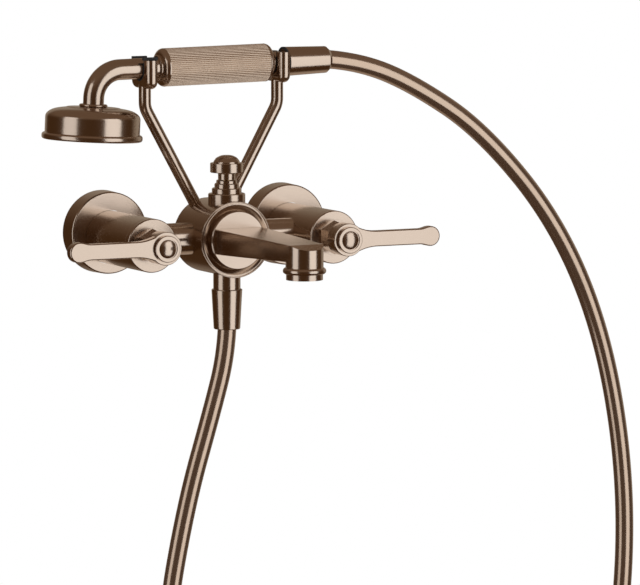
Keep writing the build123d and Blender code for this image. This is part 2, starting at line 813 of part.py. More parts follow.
# Drum bezel: a spigot in the drum, a flange, a fine bead, a groove and a band that falls inward
bezel_bead_inner = bezel_radius - bezel_bead_width
bezel_bead_depth = bezel_front_depth - bezel_bead_width / 2
bezel_groove_inner = bezel_bead_inner - bezel_groove_width
bezel_crest = bezel_groove_inner - bezel_crest_round - bezel_crest_width
bezel_bore = plate_radius + running_gap
bezel_spigot_radius = drum_cavity_radius - running_gap
bezel_floor = bezel_front_depth - bezel_fall_depth
bezel_step_depth = drum_joint_depth + bezel_neck_length
with BuildPart() as drum_bezel:
    with BuildSketch(forward_plane(0, 0)):
        with BuildLine():
            Polyline(
                (bezel_floor, bezel_bore),
                (drum_joint_depth, bezel_bore),
                (drum_joint_depth, bezel_spigot_radius - bezel_spigot_wall),
                (drum_joint_depth - bezel_spigot_length, bezel_spigot_radius - bezel_spigot_wall),
                (drum_joint_depth - bezel_spigot_length, bezel_spigot_radius),
                (drum_joint_depth, bezel_spigot_radius),
                (drum_joint_depth, drum_radius),
                (bezel_step_depth, drum_radius),
                (bezel_step_depth, bezel_radius),
                (bezel_bead_depth, bezel_radius),
            )
            ThreePointArc(
                (bezel_bead_depth, bezel_radius),
                (bezel_front_depth, bezel_radius - bezel_bead_width / 2),
                (bezel_bead_depth, bezel_bead_inner),
            )
            Polyline(
                (bezel_bead_depth, bezel_bead_inner),
                (bezel_front_depth - bezel_groove_depth, bezel_bead_inner),
                (bezel_front_depth - bezel_groove_depth, bezel_groove_inner),
                (bezel_front_depth - bezel_crest_round, bezel_groove_inner),
                (bezel_front_depth, bezel_groove_inner - bezel_crest_round),
                (bezel_front_depth, bezel_crest),
            )
            ThreePointArc(
                (bezel_front_depth, bezel_crest),
                (
                    (bezel_front_depth + bezel_floor) / 2 + bezel_fall_bulge,
                    (bezel_crest + bezel_bore) / 2,
                ),
                (bezel_floor, bezel_bore),
            )
        make_face()
    revolve(axis=forward_axis(0, 0))
    with BuildSketch(Plane.XY.offset(-drum_radius)):
        with Locations((0, -diverter_depth)):
            Circle(diverter_body_radius + running_gap)
    extrude(amount=2 * drum_radius, mode=Mode.SUBTRACT)
drum_bezel.part.label = "drum_bezel"
export_step(drum_bezel.part, "parts/drum_bezel.step")

# Face plate: a raised disc held behind the bezel, with a boss against the diverter's body
plate_flange_radius = bezel_spigot_radius - bezel_spigot_wall - running_gap
plate_back_depth = drum_joint_depth - plate_flange_thickness
with BuildPart() as face_plate:
    with BuildSketch(forward_plane(0, 0)):
        outline(
            (plate_back_depth, 0),
            (plate_back_depth, plate_flange_radius),
            (drum_joint_depth - running_gap, plate_flange_radius),
            (drum_joint_depth - running_gap, plate_radius),
            (plate_front_depth - plate_round, plate_radius),
            (plate_front_depth, plate_radius - plate_round),
            (plate_front_depth, 0),
        )
    revolve(axis=forward_axis(0, 0))
    with BuildSketch(wall_plane(diverter_depth)):
        with Locations((0, waterway_height)):
            Circle(plate_boss_radius)
    extrude(amount=plate_back_depth - diverter_depth)
    with BuildSketch(Plane.XY.offset(-drum_radius)):
        with Locations((0, -diverter_depth)):
            Circle(diverter_body_radius + running_gap)
    extrude(amount=2 * drum_radius, mode=Mode.SUBTRACT)
    with BuildSketch(wall_plane(diverter_depth)):
        with Locations((0, waterway_height)):
            Circle(waterway_radius)
    extrude(amount=plate_front_depth - diverter_depth, mode=Mode.SUBTRACT)
face_plate.part.label = "face_plate"
export_step(face_plate.part, "parts/face_plate.step")

# Spout: flat sides and top that narrow towards a round outlet with a slanted front
spout_run = spout_depth - plate_front_depth
spout_middle_depth = plate_front_depth + spout_middle_share * spout_run
spout_fore_depth = plate_front_depth + spout_fore_share * spout_run
spout_sections = (
    (plate_front_depth, spout_root_half_width, spout_root_bottom, spout_root_top),
    (spout_middle_depth, spout_middle_half_width, spout_middle_bottom, spout_middle_top),
    (spout_fore_depth, spout_fore_half_width, spout_fore_bottom, spout_fore_top),
    (spout_depth, outlet_radius, spout_end_bottom, spout_end_top),
)
slope_back_depth = spout_depth + spout_slope_back_share * outlet_radius
slope_front_depth = spout_depth + outlet_radius
with BuildPart() as spout:
    for section_depth, half_width, bottom, top in spout_sections:
        with BuildSketch(wall_plane(section_depth)):
            with Locations((0, (top + bottom) / 2)):
                Rectangle(2 * half_width, top - bottom)
    loft()
    long_edges = spout.edges().filter_by(GeomType.LINE, reverse=True)
    fillet(long_edges, radius=spout_edge_round)
    with BuildSketch(Plane.XY.offset(outlet_bottom)):
        with Locations((0, -spout_depth)):
            Circle(outlet_radius)
    extrude(amount=spout_end_top - outlet_bottom)
    with BuildSketch(Plane.YZ.offset(-outlet_radius)):
        Polygon(
            (-slope_back_depth, spout_end_top),
            (-slope_front_depth, spout_end_top - spout_slope_drop),
            (-slope_front_depth - overrun, spout_end_top - spout_slope_drop),
            (-slope_front_depth - overrun, spout_end_top + overrun),
            (-slope_back_depth, spout_end_top + overrun),
            align=None,
        )
    extrude(amount=2 * outlet_radius, mode=Mode.SUBTRACT)
    with BuildSketch(wall_plane(plate_front_depth)):
        with Locations((0, waterway_height)):
            Circle(waterway_radius)
    extrude(amount=spout_depth - plate_front_depth, mode=Mode.SUBTRACT)
    with BuildSketch(Plane.XY.offset(outlet_bottom)):
        with Locations((0, -spout_depth)):
            Circle(outlet_bore_radius)
    extrude(amount=outlet_bore_top - outlet_bottom, mode=Mode.SUBTRACT)
    with BuildSketch(Plane.XY.offset(outlet_bottom)):
        with Locations((0, -spout_depth)):
            Circle(outlet_throat_radius)
    extrude(amount=outlet_throat_top - outlet_bottom, mode=Mode.SUBTRACT)
spout.part.label = "spout"
export_step(spout.part, "parts/spout.step")

# Aerator housing: a thread in the outlet, a bead and a short skirt
bead_bottom = outlet_bottom - bead_height
aerator_bottom = bead_bottom - aerator_height
housing_top = outlet_bottom + aerator_thread_length
with BuildPart() as aerator_housing:
    with BuildSketch(upright_plane(spout_depth)):
        with BuildLine():
            Polyline(
                (bead_radius - bead_round, outlet_bottom),
                (outlet_bore_radius - running_gap, outlet_bottom),
                (outlet_bore_radius - running_gap, housing_top),
                (aerator_bore_radius, housing_top),
                (aerator_bore_radius, aerator_bottom),
                (aerator_radius, aerator_bottom),
                (aerator_radius, bead_bottom),
                (bead_radius - bead_round, bead_bottom),
            )
            ThreePointArc(
                (bead_radius - bead_round, bead_bottom),
                (bead_radius, outlet_bottom - bead_height / 2),
                (bead_radius - bead_round, outlet_bottom),
            )
        make_face()
    revolve(axis=upright_axis(spout_depth))
aerator_housing.part.label = "aerator_housing"
export_step(aerator_housing.part, "parts/aerator_housing.step")

# Aerator insert: a plug with rings of water holes
insert_bottom = aerator_bottom + aerator_insert_recess
with BuildPart() as aerator_insert:
    with BuildSketch(Plane.XY.offset(insert_bottom)):
        with Locations((0, -spout_depth)):
            Circle(aerator_bore_radius - running_gap)
            for ring_share, hole_count in (
                (aerator_ring_share, aerator_inner_holes),
                (aerator_outer_ring_share, aerator_outer_holes),
            ):
                with PolarLocations(ring_share * aerator_bore_radius, hole_count):
                    Circle(aerator_hole_radius, mode=Mode.SUBTRACT)
    extrude(amount=aerator_insert_length)
aerator_insert.part.label = "aerator_insert"
export_step(aerator_insert.part, "parts/aerator_insert.step")

# Diverter body: inlets above the discs, one port to the spout and one down to the hose
diverter_top = collar_top - running_gap
moving_floor = diverter_disc_floor + disc_thickness
with BuildPart() as diverter_body:
    with BuildSketch(Plane.XY.offset(diverter_body_bottom)):
        with Locations((0, -diverter_depth)):
            Circle(diverter_body_radius)
    extrude(amount=diverter_top - diverter_body_bottom)
    with BuildSketch(Plane.XY.offset(diverter_disc_floor)):
        with Locations((0, -diverter_depth)):
            Circle(diverter_bore_radius)
    extrude(amount=diverter_top - diverter_disc_floor, mode=Mode.SUBTRACT)
    with BuildSketch(Plane.XY.offset(waterway_height)):
        with Locations((0, -diverter_depth - diverter_port_offset)):
            Circle(diverter_port_radius)
    extrude(amount=diverter_disc_floor - waterway_height, mode=Mode.SUBTRACT)
    with BuildSketch(Plane.XY.offset(diverter_body_bottom)):
        with Locations((0, -diverter_depth + diverter_port_offset)):
            Circle(diverter_port_radius)
    extrude(amount=diverter_disc_floor - diverter_body_bottom, mode=Mode.SUBTRACT)
    with BuildSketch(wall_plane(diverter_depth + diverter_port_offset)):
        with Locations((0, waterway_height)):
            Circle(diverter_port_radius)
    extrude(amount=diverter_body_radius, mode=Mode.SUBTRACT)
    with BuildSketch(Plane(origin=(0, -diverter_depth, diverter_inlet_height), z_dir=(1, 0, 0))):
        Circle(diverter_inlet_radius)
    extrude(amount=diverter_body_radius + overrun, both=True, mode=Mode.SUBTRACT)
diverter_body.part.label = "diverter_body"
export_step(diverter_body.part, "parts/diverter_body.step")

# Diverter discs: the fixed one has both ports, the moving one a single port over the spout's
for disc_name, disc_floor, port_signs in (
    ("diverter_fixed_disc", diverter_disc_floor, (-1, 1)),
    ("diverter_moving_disc", moving_floor, (-1,)),
):
    with BuildPart() as diverter_disc:
        with BuildSketch(Plane.XY.offset(disc_floor)):
            with Locations((0, -diverter_depth)):
                Circle(diverter_bore_radius - running_gap)
            for port_sign in port_signs:
                with Locations((0, -diverter_depth + port_sign * diverter_port_offset)):
                    Circle(diverter_port_radius, mode=Mode.SUBTRACT)
        extrude(amount=disc_thickness)
    diverter_disc.part.label = disc_name
    export_step(diverter_disc.part, f"parts/{disc_name}.step")

# Diverter spindle: a narrow foot on the moving disc and a stem up to the knob
foot_bottom = moving_floor + disc_thickness
spindle_shoulder = diverter_top - bonnet_spigot_length - running_gap
with BuildPart() as diverter_spindle:
    with BuildSketch(upright_plane(diverter_depth)):
        outline(
            (0, foot_bottom),
            (diverter_foot_radius / 2, foot_bottom),
            (diverter_foot_radius / 2, foot_bottom + diverter_foot_height),
            (diverter_stem_radius, foot_bottom + diverter_foot_height),
            (diverter_stem_radius, spindle_shoulder - diverter_foot_height),
            (diverter_foot_radius, spindle_shoulder - diverter_foot_height),
            (diverter_foot_radius, spindle_shoulder),
            (diverter_stem_radius, spindle_shoulder),
            (diverter_stem_radius, knob_socket_top - running_gap),
            (0, knob_socket_top - running_gap),
        )
    revolve(axis=upright_axis(diverter_depth))
diverter_spindle.part.label = "diverter_spindle"
export_step(diverter_spindle.part, "parts/diverter_spindle.step")

# Diverter collar: an upright boss shaped to the top of the drum
with BuildPart() as diverter_collar:
    with BuildSketch(Plane.XY):
        with Locations((0, -diverter_depth)):
            Circle(collar_radius)
    extrude(amount=collar_top)
    fillet(diverter_collar.edges().group_by(Axis.Z)[-1], radius=collar_round)
    with BuildSketch(Plane.XY):
        with Locations((0, -diverter_depth)):
            Circle(diverter_body_radius + running_gap)
    extrude(amount=collar_top, mode=Mode.SUBTRACT)
    with BuildSketch(wall_plane(0)):
        Circle(drum_radius + braze_gap)
    extrude(amount=plate_front_depth + drum_radius, mode=Mode.SUBTRACT)
diverter_collar.part.label = "diverter_collar"
export_step(diverter_collar.part, "parts/diverter_collar.step")

# Diverter bonnet: three steps that narrow upwards and a spigot in the diverter's body
with BuildPart() as diverter_bonnet:
    step_points = []
    step_bottom = collar_top
    for step_radius, step_top in zip(bonnet_step_radii, bonnet_step_tops):
        step_points.append((step_radius, step_bottom))
        step_points.append((step_radius, step_top - bonnet_step_round))
        step_points.append((step_radius - bonnet_step_round, step_top))
        step_bottom = step_top
    with BuildSketch(upright_plane(diverter_depth)):
        outline(
            (diverter_stem_radius + running_gap, diverter_top - bonnet_spigot_length),
            (diverter_bore_radius - running_gap, diverter_top - bonnet_spigot_length),
            (diverter_bore_radius - running_gap, collar_top),
            *step_points,
            (diverter_stem_radius + running_gap, bonnet_step_tops[-1]),
        )
    revolve(axis=upright_axis(diverter_depth))
diverter_bonnet.part.label = "diverter_bonnet"
export_step(diverter_bonnet.part, "parts/diverter_bonnet.step")

# Diverter knob: a neck that flares into a broad wheel, with a socket for the dome in its top
dome_socket_bottom = knob_top - dome_spigot_length - running_gap
with BuildPart() as diverter_knob:
    with BuildSketch(upright_plane(diverter_depth)):
        with BuildLine():
            Polyline(
                (0, dome_socket_bottom),
                (0, knob_socket_top),
                (diverter_stem_radius + running_gap, knob_socket_top),
                (diverter_stem_radius + running_gap, neck_bottom),
                (neck_radius, neck_bottom),
                (neck_radius, knob_bottom - knob_flare),
            )
            TangentArc(
                (neck_radius, knob_bottom - knob_flare),
                (neck_radius + knob_flare, knob_bottom),
                tangent=(0, 1),
            )
            Polyline(
                (neck_radius + knob_flare, knob_bottom),
                (knob_radius, knob_bottom),
                (knob_radius, knob_top),
                (dome_spigot_radius + running_gap, knob_top),
                (dome_spigot_radius + running_gap, dome_socket_bottom),
                (0, dome_socket_bottom),
            )
        make_face()
    revolve(axis=upright_axis(diverter_depth))
    knob_rims = diverter_knob.edges().filter_by(GeomType.CIRCLE)
    fillet(knob_rims.filter_by(lambda edge: edge.radius > knob_radius - braze_gap), radius=knob_round)
diverter_knob.part.label = "diverter_knob"
export_step(diverter_knob.part, "parts/diverter_knob.step")

# Diverter dome: a full dome with a spigot in the knob's socket
dome_points = [(radius, knob_top + rise) for radius, rise in dome_steps]
with BuildPart() as diverter_dome:
    with BuildSketch(upright_plane(diverter_depth)):
        with BuildLine():
            Polyline(
                (0, knob_top + dome_height),
                (0, knob_top - dome_spigot_length),
                (dome_spigot_radius, knob_top - dome_spigot_length),
                (dome_spigot_radius, knob_top),
                (dome_radius, knob_top),
            )
            Spline(
                (dome_radius, knob_top),
                *dome_points,
                (0, knob_top + dome_height),
                tangents=((0, 1), (-1, 0)),
            )
        make_face()
    revolve(axis=upright_axis(diverter_depth))
diverter_dome.part.label = "diverter_dome"
export_step(diverter_dome.part, "parts/diverter_dome.step")

# Outlet tail: a tube shaped to the underside of the drum, with a thread for the hose nut
with BuildPart() as outlet_tail:
    with BuildSketch(Plane.XY):
        with Locations((0, -diverter_depth)):
            Circle(tail_radius)
    extrude(amount=tail_bottom)
    with BuildSketch(wall_plane(0)):
        Circle(drum_radius + braze_gap)
    extrude(amount=plate_front_depth + drum_radius, mode=Mode.SUBTRACT)
    with BuildSketch(Plane.XY.offset(diverter_body_bottom - running_gap)):
        with Locations((0, -diverter_depth)):
            Circle(tail_spigot_radius)
    extrude(amount=tail_bottom - diverter_body_bottom)
    with BuildSketch(Plane.XY.offset(tail_bottom)):
        with Locations((0, -diverter_depth)):
            Circle(tail_radius - tail_thread_step)
    extrude(amount=tail_thread_bottom - tail_bottom)
    with BuildSketch(Plane.XY.offset(tail_thread_bottom)):
        with Locations((0, -diverter_depth)):
            Circle(tail_water_radius)
    extrude(amount=check_valve_top - tail_thread_bottom, mode=Mode.SUBTRACT)
    with BuildSketch(Plane.XY.offset(check_valve_top)):
        with Locations((0, -diverter_depth)):
            Circle(tail_water_radius - check_valve_seat)
    extrude(amount=-check_valve_top, mode=Mode.SUBTRACT)
outlet_tail.part.label = "outlet_tail"
export_step(outlet_tail.part, "parts/outlet_tail.step")

# Check valve: a cartridge in the tail that lets water only down into the hose
with BuildPart() as check_valve:
    with BuildSketch(Plane.XY.offset(check_valve_top - check_valve_length)):
        with Locations((0, -diverter_depth)):
            Circle(tail_water_radius - running_gap)
            Circle(check_valve_bore_radius, mode=Mode.SUBTRACT)
    extrude(amount=check_valve_length - running_gap)
check_valve.part.label = "check_valve"
export_step(check_valve.part, "parts/check_valve.step")

# Lower hose washer under the end of the tail's thread
with BuildPart() as lower_hose_washer:
    with BuildSketch(Plane.XY.offset(hose_flange_top)):
        with Locations((0, -diverter_depth)):
            Circle(tail_radius - tail_thread_step)
            Circle(tail_water_radius, mode=Mode.SUBTRACT)
    extrude(amount=hose_washer_thickness)
lower_hose_washer.part.label = "lower_hose_washer"
export_step(lower_hose_washer.part, "parts/lower_hose_washer.step")

# Lower hose nut: a long cone that narrows down to the hose
with BuildPart() as lower_hose_nut:
    nut_bore_radius = tail_radius - tail_thread_step + running_gap
    with BuildSketch(upright_plane(diverter_depth)):
        outline(
            (nut_bore_radius, hose_nut_top),
            (hose_nut_top_radius - hose_nut_round, hose_nut_top),
            (hose_nut_top_radius, hose_nut_top - hose_nut_round),
            (hose_nut_end_radius, hose_nut_bottom + hose_nut_round),
            (hose_nut_end_radius - hose_nut_round, hose_nut_bottom),
            (sleeve_radius + running_gap, hose_nut_bottom),
            (sleeve_radius + running_gap, hose_flange_bottom - running_gap),
            (nut_bore_radius, hose_flange_bottom - running_gap),
        )
    revolve(axis=upright_axis(diverter_depth))
lower_hose_nut.part.label = "lower_hose_nut"
export_step(lower_hose_nut.part, "parts/lower_hose_nut.step")

# Lower hose ferrule: a flange under the washer and a sleeve down to the nut's end
with BuildPart() as lower_hose_ferrule:
    with BuildSketch(upright_plane(diverter_depth)):
        outline(
            (tail_water_radius, hose_flange_top),
            (nut_bore_radius - running_gap, hose_flange_top),
            (nut_bore_radius - running_gap, hose_flange_bottom),
            (sleeve_radius, hose_flange_bottom),
            (sleeve_radius, hose_nut_bottom),
            (tail_water_radius, hose_nut_bottom),
        )
    revolve(axis=upright_axis(diverter_depth))
lower_hose_ferrule.part.label = "lower_hose_ferrule"
export_step(lower_hose_ferrule.part, "parts/lower_hose_ferrule.step")

# Cradle bars: radial out of the drum, then a bend and a straight length up into the cup
for side, sign in sides:
    cup_x = sign * cradle_half_span
    bar_top = cup_height(cup_x) - cup_seat_drop
    lean = radians(sign * bar_lean)
    start_plane = Plane(origin=(0, -cradle_depth, 0), z_dir=(sin(lean), 0, cos(lean)))
    with BuildPart() as cradle_bar:
        with BuildLine(wall_plane(cradle_depth)):
            FilletPolyline(
                (0, 0),
                (cup_x, cradle_bend_height),
                (cup_x, bar_top),
                radius=cradle_bend_radius,
            )
        with BuildSketch(start_plane):
            Circle(cradle_bar_radius)
        sweep()
        with BuildSketch(wall_plane(0)):
            Circle(drum_radius + braze_gap)
        extrude(amount=plate_front_depth, mode=Mode.SUBTRACT)
        with BuildSketch(start_plane.offset(drum_cavity_radius + bar_spigot_setback)):
            Circle(bar_spigot_radius)
        extrude(amount=cradle_bend_radius)
    cradle_bar.part.label = f"{side}_cradle_bar"
    export_step(cradle_bar.part, f"parts/{side}_cradle_bar.step")

# Cradle cups: squared forks with a round seat, open at the top
for (side, sign), prong_rise in zip(sides, cup_prong_rises):
    cup_x = sign * cradle_half_span
    seat_height = cup_height(cup_x)
    cup_bottom = seat_height - cup_bottom_drop
    cup_top = seat_height + prong_rise
    with BuildPart() as cradle_cup:
        with BuildSketch(Plane.YZ.offset(cup_x - cup_width / 2)) as cup_outline:
            with Locations((-cradle_depth, (cup_bottom + cup_top) / 2)):
                Rectangle(2 * cup_outer_half, cup_top - cup_bottom)
            fillet(cup_outline.vertices().sort_by(Axis.Y)[:2], radius=cup_corner_radius)
        extrude(amount=cup_width)
        outer_faces = cradle_cup.faces().sort_by(Axis.X)
        outer_edges = outer_faces[0].edges() + outer_faces[-1].edges()
        lower_edges = outer_edges.filter_by(lambda edge: edge.center().Z < cup_top - overrun)
        fillet(lower_edges, radius=cup_edge_round)
        with BuildSketch(Plane.YZ.offset(cup_x - cup_width)):
            with Locations((-cradle_depth, seat_height)):
                Circle(cup_slot_radius)
            with Locations((-cradle_depth, seat_height + cup_top / 2)):
                Rectangle(2 * cup_slot_radius, cup_top)
        extrude(amount=2 * cup_width, mode=Mode.SUBTRACT)
        with BuildSketch(Plane.XY.offset(cup_bottom)):
            with Locations((cup_x, -cradle_depth)):
                Circle(cradle_bar_radius + braze_gap)
        extrude(amount=cup_bottom_drop - cup_seat_drop + braze_gap, mode=Mode.SUBTRACT)
    cradle_cup.part.label = f"{side}_cradle_cup"
    export_step(cradle_cup.part, f"parts/{side}_cradle_cup.step")

# Cup liners: soft linings of both seats; the left one has a lip over each prong
liner_bore_radius = liner_outer_radius - liner_thickness
liner_slot_height = liner_outer_radius + overrun
with BuildPart() as cup_liners:
    for (side, sign), prong_rise, lip_height in zip(sides, cup_prong_rises, liner_lip_heights):
        cup_x = sign * cradle_half_span
        seat_height = cup_height(cup_x)
        lip_bottom = seat_height + prong_rise + running_gap
        liner_top = seat_height + prong_rise + lip_height
        with BuildSketch(Plane.YZ.offset(cup_x - cup_width / 2)):
            with Locations((-cradle_depth, seat_height)):
                Circle(liner_outer_radius)
            with Locations((-cradle_depth, (seat_height + liner_top) / 2)):
                Rectangle(2 * liner_outer_radius, liner_top - seat_height)
            with Locations((-cradle_depth, seat_height)):
                Circle(liner_bore_radius, mode=Mode.SUBTRACT)
            with Locations((-cradle_depth, seat_height + liner_slot_height / 2)):
                Rectangle(2 * liner_bore_radius, liner_slot_height, mode=Mode.SUBTRACT)
        extrude(amount=cup_width)
        if lip_height > 0:
            with BuildSketch(Plane.YZ.offset(cup_x - liner_lip_width / 2)):
                with Locations((-cradle_depth, (lip_bottom + liner_top) / 2)):
                    Rectangle(2 * liner_lip_half, liner_top - lip_bottom)
                    Rectangle(2 * liner_bore_radius, liner_top - lip_bottom, mode=Mode.SUBTRACT)
            extrude(amount=liner_lip_width)
            lip_tops = cup_liners.faces(Select.LAST).sort_by(Axis.Z)[-2:]
            fillet(lip_tops.edges().filter_by(Axis.X), radius=liner_lip_round)
cup_liners.part.label = "cup_liners"
export_step(cup_liners.part, "parts/cup_liners.step")

# Handset frames: one along the handle, from its middle towards the hose, and one down the head
tilt = radians(handset_tilt)
handle_direction = (cos(tilt), 0, sin(tilt))
handset_middle = (0, -cradle_depth, handset_height)
handset_plane = Plane(origin=handset_middle, x_dir=handle_direction, z_dir=(0, -1, 0))
handle_start_plane = Plane(origin=handset_middle, z_dir=handle_direction)
handle_axis = Axis(handset_middle, handle_direction)
bend = radians(elbow_bend)
elbow_end_u = -elbow_start - elbow_radius * sin(bend)
elbow_end_v = -elbow_radius * (1 - cos(bend))
head_u = elbow_end_u - elbow_straight * cos(bend)
head_v = elbow_end_v - elbow_straight * sin(bend)
head_end = handset_plane.from_local_coords((head_u, head_v, 0))
head_lean = bend + tilt
head_down = (-cos(head_lean), 0, -sin(head_lean))
head_sideways = (-sin(head_lean), 0, cos(head_lean))
head_plane = Plane(origin=head_end, x_dir=head_sideways, z_dir=(0, -1, 0))
head_axis = Axis(head_end, head_down)


# Handset tube: a straight handle with a thread at its rear, and an elbow down to the head
handle_end = buffer_start + handset_thread_length + buffer_thickness
with BuildPart() as handset_tube:
    with BuildLine(handset_plane):
        Line((handle_end, 0), (-elbow_start, 0))
        CenterArc((-elbow_start, -elbow_radius), elbow_radius, 90, elbow_bend)
        Line((elbow_end_u, elbow_end_v), (head_u, head_v))
    with BuildSketch(handle_start_plane.offset(handle_end)):
        Circle(neck_tube_radius)
    sweep()
    with BuildSketch(handle_start_plane.offset(buffer_start)):
        Circle(handset_thread_radius)
    extrude(amount=handle_end - buffer_start)
    with BuildLine(handset_plane):
        Line((handle_end, 0), (-elbow_start, 0))
        CenterArc((-elbow_start, -elbow_radius), elbow_radius, 90, elbow_bend)
        Line((elbow_end_u, elbow_end_v), (head_u, head_v))
    with BuildSketch(handle_start_plane.offset(handle_end)):
        Circle(neck_tube_bore_radius)
    sweep(mode=Mode.SUBTRACT)
handset_tube.part.label = "handset_tube"
export_step(handset_tube.part, "parts/handset_tube.step")

# Grip sleeve: a tube over the handle with fine flutes and rounded shoulders
grip_bore = neck_tube_radius + running_gap
grip_start = grip_middle - grip_half_length
grip_end = grip_middle + grip_half_length
grip_end_radius = grip_radius - grip_shoulder
with BuildPart() as grip_sleeve:
    with BuildSketch(handset_plane):
        with BuildLine():
            Polyline(
                (grip_end, grip_end_radius),
                (grip_end, grip_bore),
                (grip_start, grip_bore),
                (grip_start, grip_end_radius),
            )
            RadiusArc(
                (grip_start, grip_end_radius),
                (grip_start + grip_shoulder, grip_radius),
                grip_shoulder,
            )
            Line((grip_start + grip_shoulder, grip_radius), (grip_end - grip_shoulder, grip_radius))
            RadiusArc(
                (grip_end - grip_shoulder, grip_radius),
                (grip_end, grip_end_radius),
                grip_shoulder,
            )
        make_face()
    revolve(axis=handle_axis)
    with BuildSketch(handle_start_plane.offset(grip_start)):
        with PolarLocations(grip_radius - flute_depth + flute_radius, flute_count):
            Circle(flute_radius)
    extrude(amount=2 * grip_half_length, mode=Mode.SUBTRACT)
grip_sleeve.part.label = "grip_sleeve"
export_step(grip_sleeve.part, "parts/grip_sleeve.step")

# Grip collars: a plain rounded ring at each end of the sleeve
with BuildPart() as grip_collars:
    for collar_start in (grip_end, grip_start - grip_collar_length):
        with BuildSketch(handle_start_plane.offset(collar_start)):
            Circle(grip_collar_radius)
            Circle(grip_bore, mode=Mode.SUBTRACT)
        extrude(amount=grip_collar_length)
    collar_rims = grip_collars.edges().filter_by(GeomType.CIRCLE)
    outer_rims = collar_rims.filter_by(lambda edge: edge.radius > grip_collar_radius - braze_gap)
    far_reach = grip_half_length + overrun
    far_rims = outer_rims.filter_by(lambda edge: abs(edge.arc_center.X - grip_middle) > far_reach)
    fillet(far_rims, radius=grip_collar_round)
grip_collars.part.label = "grip_collars"
export_step(grip_collars.part, "parts/grip_collars.step")

# Head shell: a collar round the elbow's end, a low dome, an upright wall and a gasket's shoulder
shell_bore = head_radius - head_wall
shell_end_drop = rim_top_drop + rim_thread_overlap
plate_top_drop = shell_end_drop - spray_plate_thickness
gasket_top_drop = plate_top_drop - gasket_thickness
collar_foot_radius = head_collar_radius - head_collar_bulge
shoulder_radius = head_dome[1][0]
shoulder_drop = head_dome[1][1]
with BuildPart() as head_shell:
    with BuildSketch(head_plane):
        with BuildLine():
            Spline(
                (head_radius, head_edge_drop),
                *reversed(head_dome),
                (head_foot_radius, head_foot_drop),
                tangents=((0, -1), (-1, 0)),
            )
            Line((head_foot_radius, head_foot_drop), (collar_foot_radius, head_foot_drop))
            ThreePointArc(
                (collar_foot_radius, head_foot_drop),
                (head_collar_radius, (head_foot_drop - head_collar_rise) / 2),
                (collar_foot_radius, -head_collar_rise),
            )
            Polyline(
                (collar_foot_radius, -head_collar_rise),
                (grip_bore, -head_collar_rise),
                (grip_bore, 0),
                (neck_tube_bore_radius, 0),
                (neck_tube_bore_radius, head_foot_drop + head_wall),
                (head_foot_radius, head_foot_drop + head_wall),
                (shoulder_radius, shoulder_drop + head_wall),
                (shell_bore, head_edge_drop),
                (shell_bore, gasket_top_drop - head_wall),
                (shell_bore - gasket_width + head_wall / 2, gasket_top_drop - head_wall),
                (shell_bore - gasket_width + head_wall / 2, gasket_top_drop),
                (shell_bore, gasket_top_drop),
                (shell_bore, shell_end_drop),
                (head_radius - running_gap, shell_end_drop),
                (head_radius - running_gap, rim_top_drop),
                (head_radius, rim_top_drop),
                (head_radius, head_edge_drop),
            )
        make_face()
    revolve(axis=head_axis)
head_shell.part.label = "head_shell"
export_step(head_shell.part, "parts/head_shell.step")

# Rim ring: screwed over the shell's end, with a lip that holds the spray plate
with BuildPart() as rim_ring:
    with BuildSketch(head_plane):
        outline(
            (head_radius, rim_top_drop),
            (rim_radius, rim_top_drop),
            (rim_radius, rim_bottom_drop),
            (head_radius - rim_lip, rim_bottom_drop),
            (head_radius - rim_lip, shell_end_drop),
            (head_radius, shell_end_drop),
        )
    revolve(axis=head_axis)
    rim_edges = rim_ring.edges().filter_by(GeomType.CIRCLE)
    fillet(rim_edges.filter_by(lambda edge: edge.radius > rim_radius - braze_gap), radius=rim_round)
rim_ring.part.label = "rim_ring"
export_step(rim_ring.part, "parts/rim_ring.step")

# Spray plate: a disc in the shell's end with rings of fine holes
spray_plate_radius = shell_bore - running_gap
spray_plane = Plane(origin=head_end, x_dir=(0, 1, 0), z_dir=head_down)
with BuildPart() as spray_plate:
    with BuildSketch(spray_plane.offset(plate_top_drop)):
        Circle(spray_plate_radius)
        for ring_share, hole_count in zip(spray_ring_shares, spray_ring_counts):
            with PolarLocations(ring_share * spray_plate_radius, hole_count):
                Circle(spray_hole_radius, mode=Mode.SUBTRACT)
    extrude(amount=spray_plate_thickness)
spray_plate.part.label = "spray_plate"
export_step(spray_plate.part, "parts/spray_plate.step")

# Head gasket between the shell's shoulder and the spray plate
with BuildPart() as head_gasket:
    with BuildSketch(spray_plane.offset(gasket_top_drop)):
        Circle(spray_plate_radius)
        Circle(spray_plate_radius - gasket_width, mode=Mode.SUBTRACT)
    extrude(amount=gasket_thickness)
head_gasket.part.label = "head_gasket"
export_step(head_gasket.part, "parts/head_gasket.step")

# Buffer ring: a soft washer round the handle's thread
with BuildPart() as buffer_ring:
    with BuildSketch(handle_start_plane.offset(buffer_start)):
        Circle(buffer_radius)
        Circle(handset_thread_radius + running_gap, mode=Mode.SUBTRACT)
    extrude(amount=buffer_thickness)
buffer_ring.part.label = "buffer_ring"
export_step(buffer_ring.part, "parts/buffer_ring.step")

# Handset hose washer at the end of the handle's thread
washer_end = handle_end + hose_washer_thickness
with BuildPart() as handset_hose_washer:
    with BuildSketch(handle_start_plane.offset(handle_end)):
        Circle(handset_thread_radius)
        Circle(neck_tube_bore_radius, mode=Mode.SUBTRACT)
    extrude(amount=hose_washer_thickness)
handset_hose_washer.part.label = "handset_hose_washer"
export_step(handset_hose_washer.part, "parts/handset_hose_washer.step")

